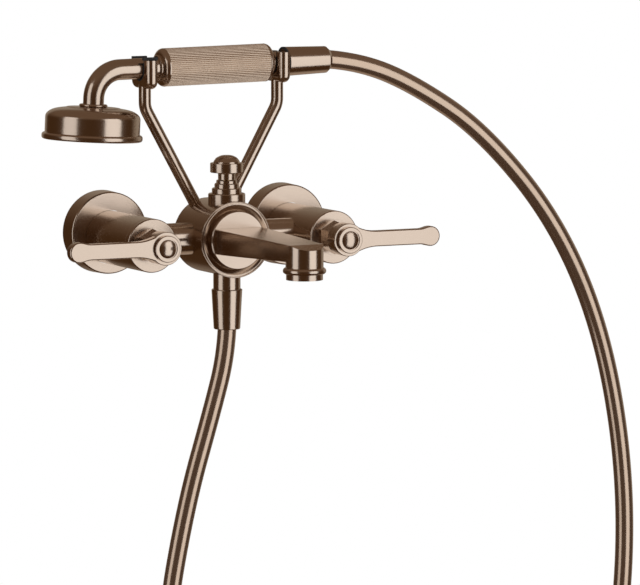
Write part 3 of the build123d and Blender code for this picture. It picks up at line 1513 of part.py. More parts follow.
# Handset hose nut: a long sleeve that narrows a little and ends in a short cone
flange_end = washer_end + handset_flange_thickness
with BuildPart() as handset_hose_nut:
    with BuildSketch(handset_plane):
        outline(
            (handset_nut_start, handset_thread_radius + running_gap),
            (handset_nut_start, handset_nut_start_radius - hose_nut_round),
            (handset_nut_start + hose_nut_round, handset_nut_start_radius),
            (handset_nut_taper_end, handset_nut_taper_radius),
            (handset_nut_end, handset_nut_end_radius),
            (handset_nut_end, sleeve_radius + running_gap),
            (flange_end + running_gap, sleeve_radius + running_gap),
            (flange_end + running_gap, handset_thread_radius + running_gap),
        )
    revolve(axis=handle_axis)
handset_hose_nut.part.label = "handset_hose_nut"
export_step(handset_hose_nut.part, "parts/handset_hose_nut.step")

# Handset hose ferrule: a flange behind the washer and a sleeve out to the nut's end
with BuildPart() as handset_hose_ferrule:
    with BuildSketch(handset_plane):
        outline(
            (washer_end, neck_tube_bore_radius),
            (washer_end, handset_thread_radius),
            (flange_end, handset_thread_radius),
            (flange_end, sleeve_radius),
            (handset_nut_end, sleeve_radius),
            (handset_nut_end, neck_tube_bore_radius),
        )
    revolve(axis=handle_axis)
handset_hose_ferrule.part.label = "handset_hose_ferrule"
export_step(handset_hose_ferrule.part, "parts/handset_hose_ferrule.step")

# Hose: its bends are as wide as the straight runs between the route's points allow
hose_start = handset_plane.from_local_coords((handset_nut_end, 0, 0))
hose_finish = Vector(0, -diverter_depth, hose_nut_bottom)
route = [hose_start]
route += [hose_start + Vector(*step) for step in hose_head_steps]
route += [Vector(*point) for point in hose_loop_points]
route += [hose_finish + Vector(*step) for step in hose_foot_steps]
route.append(hose_finish)
runs = [after - before for before, after in zip(route, route[1:])]
hose_bends = []
for run_before, run_after in zip(runs, runs[1:]):
    half_turn = radians(run_before.get_angle(run_after) / 2)
    shorter_run = min(run_before.length, run_after.length)
    hose_bends.append(hose_bend_share * shorter_run / tan(half_turn))
print("hose bend radii", [round(hose_bend) for hose_bend in hose_bends])
route[0] -= hose_inlet_setback * runs[0].normalized()
route[-1] += hose_inlet_setback * runs[-1].normalized()
with BuildPart() as hose:
    with BuildLine() as hose_path:
        FilletPolyline(*route, radius=hose_bends)
    print("hose length", round(sum(edge.length for edge in hose_path.edges())))
    with BuildSketch(Plane(origin=route[0], z_dir=runs[0])):
        Circle(hose_radius)
    sweep()
    with BuildSketch(handle_start_plane.offset(handset_nut_end)):
        Circle(2 * hose_radius)
    extrude(amount=-2 * hose_radius, mode=Mode.SUBTRACT)
    with BuildSketch(Plane.XY.offset(hose_nut_bottom)):
        with Locations((0, -diverter_depth)):
            Circle(2 * hose_radius)
    extrude(amount=2 * hose_radius, mode=Mode.SUBTRACT)
hose.part.label = "hose"
export_step(hose.part, "parts/hose.step")
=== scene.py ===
"""Bath shower mixer: finishes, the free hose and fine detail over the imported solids."""
import json
import logging
from dataclasses import dataclass
from enum import Enum
from math import asin, cos, degrees, radians, sin

import bpy
from mathutils import Matrix, Vector


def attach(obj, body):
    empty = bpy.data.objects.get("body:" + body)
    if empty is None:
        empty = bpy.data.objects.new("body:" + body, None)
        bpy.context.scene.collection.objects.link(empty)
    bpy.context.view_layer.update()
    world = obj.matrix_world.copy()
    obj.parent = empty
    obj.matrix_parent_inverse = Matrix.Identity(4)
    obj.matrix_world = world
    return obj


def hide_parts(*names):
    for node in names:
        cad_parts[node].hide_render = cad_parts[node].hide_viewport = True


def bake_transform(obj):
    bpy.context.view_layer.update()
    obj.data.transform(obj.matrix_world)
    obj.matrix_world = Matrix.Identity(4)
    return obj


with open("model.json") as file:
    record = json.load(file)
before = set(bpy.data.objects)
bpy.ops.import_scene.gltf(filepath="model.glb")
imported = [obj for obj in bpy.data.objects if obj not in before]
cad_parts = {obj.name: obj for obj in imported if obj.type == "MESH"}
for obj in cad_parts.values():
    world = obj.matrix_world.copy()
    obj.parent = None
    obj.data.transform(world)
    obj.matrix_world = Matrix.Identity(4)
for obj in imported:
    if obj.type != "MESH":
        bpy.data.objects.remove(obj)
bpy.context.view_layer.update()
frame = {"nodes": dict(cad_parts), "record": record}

LOG = logging.getLogger("bath_shower_mixer")

Colour = tuple[float, float, float]
Point = tuple[float, float, float]

RIGHT_ANGLE = 90.0
FULL_TURN = 360.0
PHOTO_AZIMUTH = 26.5
SCENE_MIDDLE: Point = (0.0, -0.05, 0.0)

CLOUD_SCALE = 38.0
CLOUD_DETAIL = 3.0
MARK_DETAIL = 4.0
NOISE_LOW = 0.3
NOISE_HIGH = 0.7


class Grain(Enum):
    """How the fine marks of a surface lie, as the pattern's scale along each axis."""

    CLOUDY = (1.0, 1.0, 1.0)
    ALONG_X = (0.04, 1.0, 1.0)


@dataclass(frozen=True)
class Finish:
    """A surface finish that becomes a node material.

    Args:
        name: Name of the material.
        colour: Linear base colour.
        shade: Linear colour that the cloudy variation mixes in.
        metallic: Metal share of the surface.
        roughness: Middle roughness.
        roughness_spread: How far the roughness goes up and down with the grain.
        grain: How the fine marks lie.
        grain_scale: Marks per metre, about.
        bump: Height of the marks in metres.
    """

    name: str
    colour: Colour
    shade: Colour
    metallic: float = 1.0
    roughness: float = 0.2
    roughness_spread: float = 0.05
    grain: Grain = Grain.CLOUDY
    grain_scale: float = 900.0
    bump: float = 0.00001

    def material(self) -> bpy.types.Material:
        """Find the material of this name, or build it from nodes.

        Returns:
            The material.
        """
        known = bpy.data.materials.get(self.name)
        if known is not None:
            return known
        made = bpy.data.materials.new(self.name)
        made.use_nodes = True
        tree = made.node_tree
        shader = tree.nodes["Principled BSDF"]
        shader.inputs["Metallic"].default_value = self.metallic
        place = tree.nodes.new("ShaderNodeTexCoord").outputs["Object"]
        stretch = tree.nodes.new("ShaderNodeMapping")
        stretch.inputs["Scale"].default_value = self.grain.value
        tree.links.new(place, stretch.inputs["Vector"])
        clouds = self._noise(tree, place, CLOUD_SCALE, CLOUD_DETAIL)
        marks = self._noise(tree, stretch.outputs["Vector"], self.grain_scale, MARK_DETAIL)
        tree.links.new(self._tint(tree, clouds), shader.inputs["Base Color"])
        tree.links.new(self._gloss(tree, marks), shader.inputs["Roughness"])
        tree.links.new(self._relief(tree, marks), shader.inputs["Normal"])
        return made

    def _tint(self, tree: bpy.types.NodeTree, clouds: bpy.types.NodeSocket) -> bpy.types.NodeSocket:
        """Mix the colour and its shade by the clouds.

        Args:
            tree: Node tree of the material.
            clouds: Socket of the slow noise.

        Returns:
            The socket of the colour.
        """
        tint = tree.nodes.new("ShaderNodeMix")
        tint.data_type = "RGBA"
        tint.inputs["A"].default_value = (*self.colour, 1.0)
        tint.inputs["B"].default_value = (*self.shade, 1.0)
        tree.links.new(clouds, tint.inputs["Factor"])
        return tint.outputs["Result"]

    def _gloss(self, tree: bpy.types.NodeTree, marks: bpy.types.NodeSocket) -> bpy.types.NodeSocket:
        """Spread the roughness by the fine marks.

        Args:
            tree: Node tree of the material.
            marks: Socket of the fine noise.

        Returns:
            The socket of the roughness.
        """
        spread = tree.nodes.new("ShaderNodeMapRange")
        spread.inputs["From Min"].default_value = NOISE_LOW
        spread.inputs["From Max"].default_value = NOISE_HIGH
        spread.inputs["To Min"].default_value = self.roughness - self.roughness_spread
        spread.inputs["To Max"].default_value = self.roughness + self.roughness_spread
        tree.links.new(marks, spread.inputs["Value"])
        return spread.outputs["Result"]

    def _relief(self, tree: bpy.types.NodeTree, marks: bpy.types.NodeSocket) -> bpy.types.NodeSocket:
        """Raise the fine marks from the surface.

        Args:
            tree: Node tree of the material.
            marks: Socket of the fine noise.

        Returns:
            The socket of the normal.
        """
        relief = tree.nodes.new("ShaderNodeBump")
        relief.inputs["Strength"].default_value = 1.0
        relief.inputs["Distance"].default_value = self.bump
        tree.links.new(marks, relief.inputs["Height"])
        return relief.outputs["Normal"]

    @staticmethod
    def _noise(
        tree: bpy.types.NodeTree, place: bpy.types.NodeSocket, scale: float, detail: float
    ) -> bpy.types.NodeSocket:
        """Add a noise texture.

        Args:
            tree: Node tree of the material.
            place: Socket of the place on the piece.
            scale: Marks per metre, about.
            detail: Levels of finer noise.

        Returns:
            The socket of the noise.
        """
        noise = tree.nodes.new("ShaderNodeTexNoise")
        noise.inputs["Scale"].default_value = scale
        noise.inputs["Detail"].default_value = detail
        tree.links.new(place, noise.inputs["Vector"])
        return noise.outputs["Fac"]


POLISHED_BRONZE = Finish(
    "polished_bronze",
    colour=(0.64, 0.54, 0.455),
    shade=(0.605, 0.505, 0.42),
    roughness=0.19,
    roughness_spread=0.02,
    bump=0.0000008,
)
REEDED_BRONZE = Finish(
    "reeded_bronze",
    colour=(0.73, 0.605, 0.49),
    shade=(0.685, 0.56, 0.445),
    roughness=0.36,
    grain=Grain.ALONG_X,
    grain_scale=1500.0,
    bump=0.00002,
)
HOSE_BRONZE = Finish(
    "hose_bronze",
    colour=(0.61, 0.485, 0.385),
    shade=(0.545, 0.425, 0.33),
    metallic=0.93,
    roughness=0.19,
    roughness_spread=0.03,
    grain_scale=2600.0,
    bump=0.000005,
)
SATIN_BRONZE = Finish(
    "satin_bronze",
    colour=(0.30, 0.23, 0.18),
    shade=(0.26, 0.20, 0.155),
    metallic=0.6,
    roughness=0.4,
)
BARE_BRASS = Finish(
    "bare_brass",
    colour=(0.80, 0.60, 0.30),
    shade=(0.72, 0.52, 0.25),
    roughness=0.28,
    roughness_spread=0.08,
    bump=0.00002,
)
PLAIN_STEEL = Finish(
    "plain_steel",
    colour=(0.56, 0.56, 0.56),
    shade=(0.50, 0.50, 0.50),
    roughness=0.3,
)
BLACK_RUBBER = Finish(
    "black_rubber",
    colour=(0.018, 0.017, 0.016),
    shade=(0.028, 0.026, 0.024),
    metallic=0.0,
    roughness=0.55,
    roughness_spread=0.1,
    grain_scale=1400.0,
    bump=0.00004,
)
WHITE_CERAMIC = Finish(
    "white_ceramic",
    colour=(0.82, 0.81, 0.78),
    shade=(0.78, 0.77, 0.73),
    metallic=0.0,
    roughness=0.22,
)
MOULDED_PLASTIC = Finish(
    "moulded_plastic",
    colour=(0.70, 0.70, 0.66),
    shade=(0.64, 0.64, 0.60),
    metallic=0.0,
    roughness=0.45,
    bump=0.00003,
)

SLOT_FINISHES = {
    "bronze": POLISHED_BRONZE,
    "bronze_shell": POLISHED_BRONZE,
    "grip_bronze": REEDED_BRONZE,
    "spray_bronze": SATIN_BRONZE,
    "plain_brass": BARE_BRASS,
    "steel": PLAIN_STEEL,
    "black_rubber": BLACK_RUBBER,
    "ceramic": WHITE_CERAMIC,
    "pale_plastic": MOULDED_PLASTIC,
    "hose_skin": HOSE_BRONZE,
}


def dress(piece: bpy.types.Object, finish: Finish) -> None:
    """Give every slot of a piece one finish.

    Args:
        piece: Object to dress.
        finish: Finish that it gets.
    """
    material = finish.material()
    if not piece.material_slots:
        piece.data.materials.append(material)
    for place in piece.material_slots:
        place.material = material


def add_object(name: str, data: bpy.types.ID) -> bpy.types.Object:
    """Add an object to the scene.

    Args:
        name: Name of the object.
        data: The mesh, curve, lamp or camera that it holds.

    Returns:
        The new object.
    """
    made = bpy.data.objects.new(name, data)
    bpy.context.scene.collection.objects.link(made)
    return made


def deselect() -> None:
    """Leave object mode with nothing selected."""
    if bpy.context.object is not None and bpy.context.object.mode != "OBJECT":
        bpy.ops.object.mode_set(mode="OBJECT")
    bpy.ops.object.select_all(action="DESELECT")


def choose(piece: bpy.types.Object) -> None:
    """Make a piece the only selected and the active object.

    Args:
        piece: Object to choose.
    """
    deselect()
    piece.select_set(True)
    bpy.context.view_layer.objects.active = piece


def settle() -> None:
    """Move the place, turn and scale of the selected object into its mesh."""
    bpy.ops.object.transform_apply(location=True, rotation=True, scale=True)


def join_as(name: str, parts: list[bpy.types.Object]) -> bpy.types.Object:
    """Join parts into one piece.

    Args:
        name: Name of the piece.
        parts: Objects that become the piece.

    Returns:
        The piece.
    """
    for part in parts:
        part.select_set(True)
    bpy.context.view_layer.objects.active = parts[0]
    bpy.ops.object.join()
    piece = bpy.context.object
    piece.name = name
    settle()
    return piece


def finish_mesh(piece: bpy.types.Object, angle: float) -> None:
    """Turn a new piece's faces outward and smooth its gentle edges.

    Args:
        piece: Object to finish.
        angle: Degrees between faces up to which an edge is smooth.
    """
    choose(piece)
    bpy.ops.object.mode_set(mode="EDIT")
    bpy.ops.mesh.select_all(action="SELECT")
    bpy.ops.mesh.normals_make_consistent(inside=False)
    bpy.ops.object.mode_set(mode="OBJECT")
    bpy.ops.object.shade_smooth_by_angle(angle=radians(angle))


def lowest(piece: bpy.types.Object) -> float:
    """Find the height of a piece's lowest corner.

    Args:
        piece: Object to measure.

    Returns:
        The height in metres.
    """
    return min((piece.matrix_world @ vertex.co).z for vertex in piece.data.vertices)


@dataclass
class Camera:
    """The photograph's camera.

    Args:
        azimuth: Degrees to the left of straight on.
        elevation: Degrees above the horizon.
        distance: Metres from the target.
        target: Point that it looks at before it moves sideways.
        across: Metres by which the object stands right of the view's middle.
        up: Metres by which the object stands above the view's middle.
        lens: Focal length in millimetres.
        sensor_width: Width of the sensor in millimetres.
        clip_end: Farthest distance that it sees, in metres.
    """

    azimuth: float = PHOTO_AZIMUTH
    elevation: float = 6.15
    distance: float = 3.762
    target: Point = SCENE_MIDDLE
    across: float = -0.07595
    up: float = 0.04212
    lens: float = 281.25
    sensor_width: float = 36.0
    clip_end: float = 50.0

    def build(self) -> None:
        """Place the camera and make it the scene's camera."""
        turn = radians(self.azimuth)
        rise = radians(self.elevation)
        right = Vector((cos(turn), -sin(turn), 0.0))
        back = Vector((-sin(turn) * cos(rise), -cos(turn) * cos(rise), sin(rise)))
        above = back.cross(right)
        place = Vector(self.target) + self.distance * back - self.across * right - self.up * above
        data = bpy.data.cameras.new("photo_camera")
        data.lens = self.lens
        data.sensor_width = self.sensor_width
        data.clip_end = self.clip_end
        camera = add_object("photo_camera", data)
        axes = Matrix((right, above, back)).transposed()
        camera.matrix_world = Matrix.Translation(place) @ axes.to_4x4()
        bpy.context.scene.camera = camera


@dataclass(frozen=True)
class SoftBox:
    """A broad lamp that faces the object.

    Args:
        name: Name of the lamp.
        turn: Degrees to the right of the camera's direction.
        rise: Degrees above the horizon.
        width: Width in metres.
        height: Height in metres.
        power: Power in watts.
    """

    name: str
    turn: float
    rise: float
    width: float
    height: float
    power: float


@dataclass(frozen=True)
class Glow:
    """A paler part of the brown tent.

    Args:
        turn: Degrees of its middle to the right of the camera's direction.
        rise: Degrees of its middle above the horizon.
        inner: Degrees from its middle to where it starts to fade.
        outer: Degrees from its middle to where it ends.
        colour: Linear colour.
    """

    turn: float
    rise: float
    inner: float
    outer: float
    colour: Colour


@dataclass
class Studio:
    """A pale floor, two broad soft boxes and a brown tent that the metal reflects.

    Args:
        camera_turn: Degrees of the camera to the left of straight on.
        middle: Point that the soft boxes face.
        fill_colour: Linear colour of the room's light on the object.
        fill_strength: Strength of that light.
        floor_place: Middle of the floor's disc.
        floor_radius: Radius of the floor's disc in metres.
        floor_sides: Sides of the floor's disc.
        floor_colour: Linear colour of the floor.
        floor_roughness: Roughness of the floor.
        floor_gloss: Specular level of the floor.
        tent_radius: Radius of the tent in metres.
        tent_segments: Segments round the tent.
        tent_rings: Rings from the tent's top to its bottom.
        tent_colour: Linear colour of the tent away from its glows.
        glows: The tent's paler parts, a later one over an earlier one.
        light_distance: Metres from the middle to each soft box.
        soft_boxes: The lamps.
    """

    camera_turn: float = PHOTO_AZIMUTH
    middle: Point = SCENE_MIDDLE
    fill_colour: Colour = (1.0, 0.98, 0.96)
    fill_strength: float = 0.5
    floor_place: Point = (0.1, -0.05, -0.535)
    floor_radius: float = 1.1
    floor_sides: int = 128
    floor_colour: Colour = (0.86, 0.855, 0.845)
    floor_roughness: float = 0.9
    floor_gloss: float = 0.1
    tent_radius: float = 2.9
    tent_segments: int = 96
    tent_rings: int = 48
    tent_colour: Colour = (0.066, 0.031, 0.012)
    glows: tuple[Glow, ...] = (
        Glow(0.0, 90.0, inner=45.0, outer=87.0, colour=(0.17, 0.108, 0.07)),
        Glow(180.0, 12.0, inner=5.0, outer=34.0, colour=(0.17, 0.115, 0.075)),
        Glow(172.0, -46.0, inner=12.0, outer=34.0, colour=(0.42, 0.33, 0.26)),
        Glow(-164.0, 4.0, inner=8.0, outer=30.0, colour=(0.34, 0.28, 0.22)),
        Glow(142.0, 4.0, inner=12.0, outer=32.0, colour=(0.36, 0.30, 0.24)),
    )
    light_distance: float = 2.3
    soft_boxes: tuple[SoftBox, ...] = (
        SoftBox("left_soft_box", turn=-54.0, rise=-2.0, width=1.45, height=3.4, power=13.8),
        SoftBox("right_soft_box", turn=52.0, rise=-2.0, width=1.8, height=3.4, power=21.3),
    )

    def build(self) -> None:
        """Build the world, the floor, the tent and the lamps."""
        self._world()
        self._floor()
        self._tent()
        for box in self.soft_boxes:
            self._soft_box(box)

    def _direction(self, turn: float, rise: float) -> Vector:
        """Find a direction from the object.

        Args:
            turn: Degrees to the right of the camera's direction.
            rise: Degrees above the horizon.

        Returns:
            The unit vector.
        """
        angle = radians(turn - self.camera_turn)
        lift = radians(rise)
        return Vector((sin(angle) * cos(lift), -cos(angle) * cos(lift), sin(lift)))

    @staticmethod
    def _larger(
        tree: bpy.types.NodeTree, first: bpy.types.NodeSocket, second: bpy.types.NodeSocket
    ) -> bpy.types.NodeSocket:
        """Add a node that passes on the larger of two values.

        Args:
            tree: Node tree to add to.
            first: Socket of one value.
            second: Socket of the other value.

        Returns:
            The socket of the larger value.
        """
        larger = tree.nodes.new("ShaderNodeMath")
        larger.operation = "MAXIMUM"
        tree.links.new(first, larger.inputs[0])
        tree.links.new(second, larger.inputs[1])
        return larger.outputs["Value"]

    def _world(self) -> None:
        """White behind the object for the camera and in reflections, and plain light elsewhere."""
        world = bpy.data.worlds.new("pale_room")
        bpy.context.scene.world = world
        world.use_nodes = True
        tree = world.node_tree
        seen = tree.nodes["Background"]
        seen.inputs["Color"].default_value = (1.0, 1.0, 1.0, 1.0)
        seen.inputs["Strength"].default_value = 1.0
        fill = tree.nodes.new("ShaderNodeBackground")
        fill.inputs["Color"].default_value = (*self.fill_colour, 1.0)
        fill.inputs["Strength"].default_value = self.fill_strength
        rays = tree.nodes.new("ShaderNodeLightPath").outputs
        mirrored = self._larger(tree, rays["Is Glossy Ray"], rays["Is Transmission Ray"])
        either = self._larger(tree, rays["Is Camera Ray"], mirrored)
        mix = tree.nodes.new("ShaderNodeMixShader")
        tree.links.new(either, mix.inputs["Fac"])
        tree.links.new(fill.outputs["Background"], mix.inputs[1])
        tree.links.new(seen.outputs["Background"], mix.inputs[2])
        tree.links.new(mix.outputs["Shader"], tree.nodes["World Output"].inputs["Surface"])

    def _floor(self) -> None:
        """A plain pale disc under the hose."""
        deselect()
        bpy.ops.mesh.primitive_circle_add(
            vertices=self.floor_sides, radius=self.floor_radius, fill_type="NGON",
            location=self.floor_place,
        )
        floor = bpy.context.object
        floor.name = "floor"
        made = bpy.data.materials.new("pale_floor")
        made.use_nodes = True
        shader = made.node_tree.nodes["Principled BSDF"]
        shader.inputs["Base Color"].default_value = (*self.floor_colour, 1.0)
        shader.inputs["Roughness"].default_value = self.floor_roughness
        shader.inputs["Specular IOR Level"].default_value = self.floor_gloss
        floor.data.materials.append(made)
        floor.visible_glossy = False

    def _tent(self) -> None:
        """A brown tent round the object, seen only in reflections."""
        deselect()
        bpy.ops.mesh.primitive_uv_sphere_add(
            segments=self.tent_segments, ring_count=self.tent_rings, radius=self.tent_radius
        )
        tent = bpy.context.object
        tent.name = "tent"
        tent.data.materials.append(self._tent_material())
        tent.visible_camera = False
        tent.visible_diffuse = False
        tent.visible_shadow = False

    def _tent_material(self) -> bpy.types.Material:
        """Build the tent's brown, with its paler parts.

        Returns:
            The material.
        """
        made = bpy.data.materials.new("brown_tent")
        made.use_nodes = True
        tree = made.node_tree
        tree.nodes.remove(tree.nodes["Principled BSDF"])
        place = tree.nodes.new("ShaderNodeTexCoord")
        unit = tree.nodes.new("ShaderNodeVectorMath")
        unit.operation = "NORMALIZE"
        tree.links.new(place.outputs["Object"], unit.inputs[0])
        plain = tree.nodes.new("ShaderNodeRGB")
        plain.outputs["Color"].default_value = (*self.tent_colour, 1.0)
        colour = plain.outputs["Color"]
        for glow in self.glows:
            colour = self._add_glow(tree, glow, unit.outputs["Vector"], colour)
        shine = tree.nodes.new("ShaderNodeEmission")
        tree.links.new(colour, shine.inputs["Color"])
        tree.links.new(shine.outputs["Emission"], tree.nodes["Material Output"].inputs["Surface"])
        return made

    def _add_glow(
        self,
        tree: bpy.types.NodeTree,
        glow: Glow,
        direction: bpy.types.NodeSocket,
        under: bpy.types.NodeSocket,
    ) -> bpy.types.NodeSocket:
        """Lay one paler part over the tent's colour.

        Args:
            tree: Node tree of the tent's material.
            glow: The paler part.
            direction: Socket of the direction from the tent's middle.
            under: Socket of the colour so far.

        Returns:
            The socket of the new colour.
        """
        nearness = tree.nodes.new("ShaderNodeVectorMath")
        nearness.operation = "DOT_PRODUCT"
        nearness.inputs[1].default_value = self._direction(glow.turn, glow.rise)
        tree.links.new(direction, nearness.inputs[0])
        fade = tree.nodes.new("ShaderNodeMapRange")
        fade.interpolation_type = "SMOOTHSTEP"
        fade.inputs["From Min"].default_value = cos(radians(glow.outer))
        fade.inputs["From Max"].default_value = cos(radians(glow.inner))
        tree.links.new(nearness.outputs["Value"], fade.inputs["Value"])
        mix = tree.nodes.new("ShaderNodeMix")
        mix.data_type = "RGBA"
        mix.inputs["B"].default_value = (*glow.colour, 1.0)
        tree.links.new(fade.outputs["Result"], mix.inputs["Factor"])
        tree.links.new(under, mix.inputs["A"])
        return mix.outputs["Result"]

    def _soft_box(self, box: SoftBox) -> None:
        """Add a broad lamp that faces the object.

        Args:
            box: The lamp's place, size and power.
        """
        data = bpy.data.lights.new(box.name, "AREA")
        data.shape = "RECTANGLE"
        data.size = box.width
        data.size_y = box.height
        data.energy = box.power
        lamp = add_object(box.name, data)
        towards = self._direction(box.turn, box.rise)
        lamp.location = Vector(self.middle) + self.light_distance * towards
        lamp.rotation_euler = towards.to_track_quat("Z", "Y").to_euler()


class PlatedShells:
    """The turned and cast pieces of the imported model, each in its finish."""

    def build(self) -> list[bpy.types.Object]:
        """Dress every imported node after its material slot.

        Returns:
            The nodes.
        """
        slots = {part["node"]: part["material_slot"] for part in frame["record"]["subparts"]}
        for name, node in frame["nodes"].items():
            dress(node, SLOT_FINISHES[slots[name]])
        return list(frame["nodes"].values())


@dataclass
class Hose:
    """The free hose from the mixer's lower nut up to the handset's nut.

    Args:
        radius: Outer radius in metres.
        length: Free length in metres.
        run_steps: Steps along the spline between two points of the route.
        roundness: Half the sides of the hose's section, less two.
        smooth_angle: Degrees between faces up to which an edge is smooth.
        route: Control points of the hose's spline, from the lower nut on.
    """
    # length: Free length in metres; not used.

    radius: float = 0.0071
    length: float = 1.446
    run_steps: int = 24
    roundness: int = 8
    smooth_angle: float = 40.0
    route: tuple[Point, ...] = (
        (0.0, -0.0635, -0.0684),
        (-0.0012, -0.0635, -0.0892),
        (-0.012, -0.0635, -0.128),
        (-0.0345, -0.0635, -0.200),
        (-0.053, -0.0635, -0.296),
        (-0.038, -0.063, -0.368),
        (0.004, -0.061, -0.441),
        (0.067, -0.057, -0.494),
        (0.143, -0.052, -0.519),
        (0.221, -0.047, -0.510),
        (0.290, -0.042, -0.468),
        (0.338, -0.0385, -0.400),
        (0.3598, -0.0375, -0.312),
        (0.3613, -0.037, -0.202),
        (0.3395, -0.037, -0.0905),
        (0.297, -0.037, -0.001),
        (0.231, -0.037, 0.072),
        (0.170, -0.037, 0.110),
        (0.125, -0.037, 0.1275),
        (0.098, -0.037, 0.1301),
    )

    def build(self) -> list[bpy.types.Object]:
        """Build the hose as a tube along one smooth spline.

        Returns:
            The hose alone.
        """
        curve = self._spline()
        guide = add_object("hose_route", curve)
        bpy.context.view_layer.update()
        line = bpy.data.meshes.new_from_object(guide)
        curve.bevel_depth = self.radius
        curve.bevel_resolution = self.roundness
        curve.use_fill_caps = True
        bpy.context.view_layer.update()
        shown = guide.evaluated_get(bpy.context.evaluated_depsgraph_get())
        skin = bpy.data.meshes.new_from_object(shown)
        bpy.data.objects.remove(guide)
        hose = add_object("free_hose", skin)
        choose(hose)
        bpy.ops.object.shade_smooth_by_angle(angle=radians(self.smooth_angle))
        dress(hose, HOSE_BRONZE)
        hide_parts("hose")
        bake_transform(hose)
        return [hose]

    def _spline(self) -> bpy.types.Curve:
        """Draw the hose's middle line.

        Returns:
            The curve, with no thickness yet.
        """
        curve = bpy.data.curves.new("hose_route", "CURVE")
        curve.dimensions = "3D"
        curve.resolution_u = self.run_steps
        spline = curve.splines.new("NURBS")
        spline.points.add(len(self.route) - 1)
        for point, place in zip(spline.points, self.route):
            point.co = (*place, 1.0)
        spline.order_u = 3
        spline.use_endpoint_u = True
        return curve


@dataclass
class GripEnds:
    """Polished caps over the two rounded ends of the fluted grip.

    Args:
        middle: Middle of the handle.
        tilt: Degrees by which the handle rises towards the hose.
        grip_ends: For each end, its place along the handle and where the cap's edge lies, in metres.
        shoulder: Radius of the grip's rounded end in metres.
        grip_radius: Outer radius of the grip in metres.
        proud: Metres by which a cap stands over the grip.
        depth: Metres by which a cap reaches into the grip.
        bore: Inner radius of a cap in metres.
        arc_steps: Steps along the rounded end.
        spin_steps: Steps round the handle.
        smooth_angle: Degrees between faces up to which an edge is smooth.
    """

    middle: Point = (0.0, -0.037, 0.1284)
    tilt: float = 1.0
    grip_ends: tuple[tuple[float, float], ...] = ((-0.0435, -0.0392), (0.0479, 0.0440))
    shoulder: float = 0.0042
    grip_radius: float = 0.01435
    proud: float = 0.00006
    depth: float = 0.0003
    bore: float = 0.0097
    arc_steps: int = 14
    spin_steps: int = 96
    smooth_angle: float = 40.0

    def build(self) -> list[bpy.types.Object]:
        """Build the cap of each end.

        Returns:
            The two caps.
        """
        return [
            self._cap(f"grip_end_{number}", self._section(end, start))
            for number, (end, start) in enumerate(self.grip_ends, start=1)
        ]

    def _section(self, end: float, start: float) -> list[tuple[float, float]]:
        """Draw one cap's section.

        Args:
            end: Place of the grip's end along the handle, in metres.
            start: Place where the cap's edge lies on the grip, in metres.

        Returns:
            The corners of the section, each by its place along the handle and its radius.
        """
        inward = 1.0 if start > end else -1.0
        reach = min(abs(start - end), self.shoulder)
        last = degrees(asin((self.shoulder - reach) / self.shoulder))
        outer = []
        inner = []
        for step in range(self.arc_steps + 1):
            angle = radians(RIGHT_ANGLE - (RIGHT_ANGLE - last) * step / self.arc_steps)
            for line, size in ((outer, self.shoulder + self.proud), (inner, self.shoulder - self.depth)):
                along = end + inward * (self.shoulder - size * sin(angle))
                line.append((along, self.grip_radius - self.shoulder + size * cos(angle)))
        foot = [(inner[0][0], self.bore), (outer[0][0], self.bore)]
        return outer + inner[::-1] + foot

    def _cap(self, name: str, section: list[tuple[float, float]]) -> bpy.types.Object:
        """Spin one cap's section round the handle's axis.

        Args:
            name: Name of the piece.
            section: Corners of the section, each by its place along the handle and its radius.

        Returns:
            The cap.
        """
        mesh = bpy.data.meshes.new(name)
        edges = [(corner, (corner + 1) % len(section)) for corner in range(len(section))]
        mesh.from_pydata([(along, 0.0, radius) for along, radius in section], edges, [])
        cap = add_object(name, mesh)
        screw = cap.modifiers.new("Spin", "SCREW")
        screw.axis = "X"
        screw.angle = radians(FULL_TURN)
        screw.steps = self.spin_steps
        screw.render_steps = self.spin_steps
        screw.use_merge_vertices = True
        choose(cap)
        bpy.ops.object.modifier_apply(modifier="Spin")
        cap.rotation_euler = (0.0, radians(-self.tilt), 0.0)
        cap.location = self.middle
        settle()
        finish_mesh(cap, angle=self.smooth_angle)
        dress(cap, POLISHED_BRONZE)
        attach(cap, "handset")
        return cap


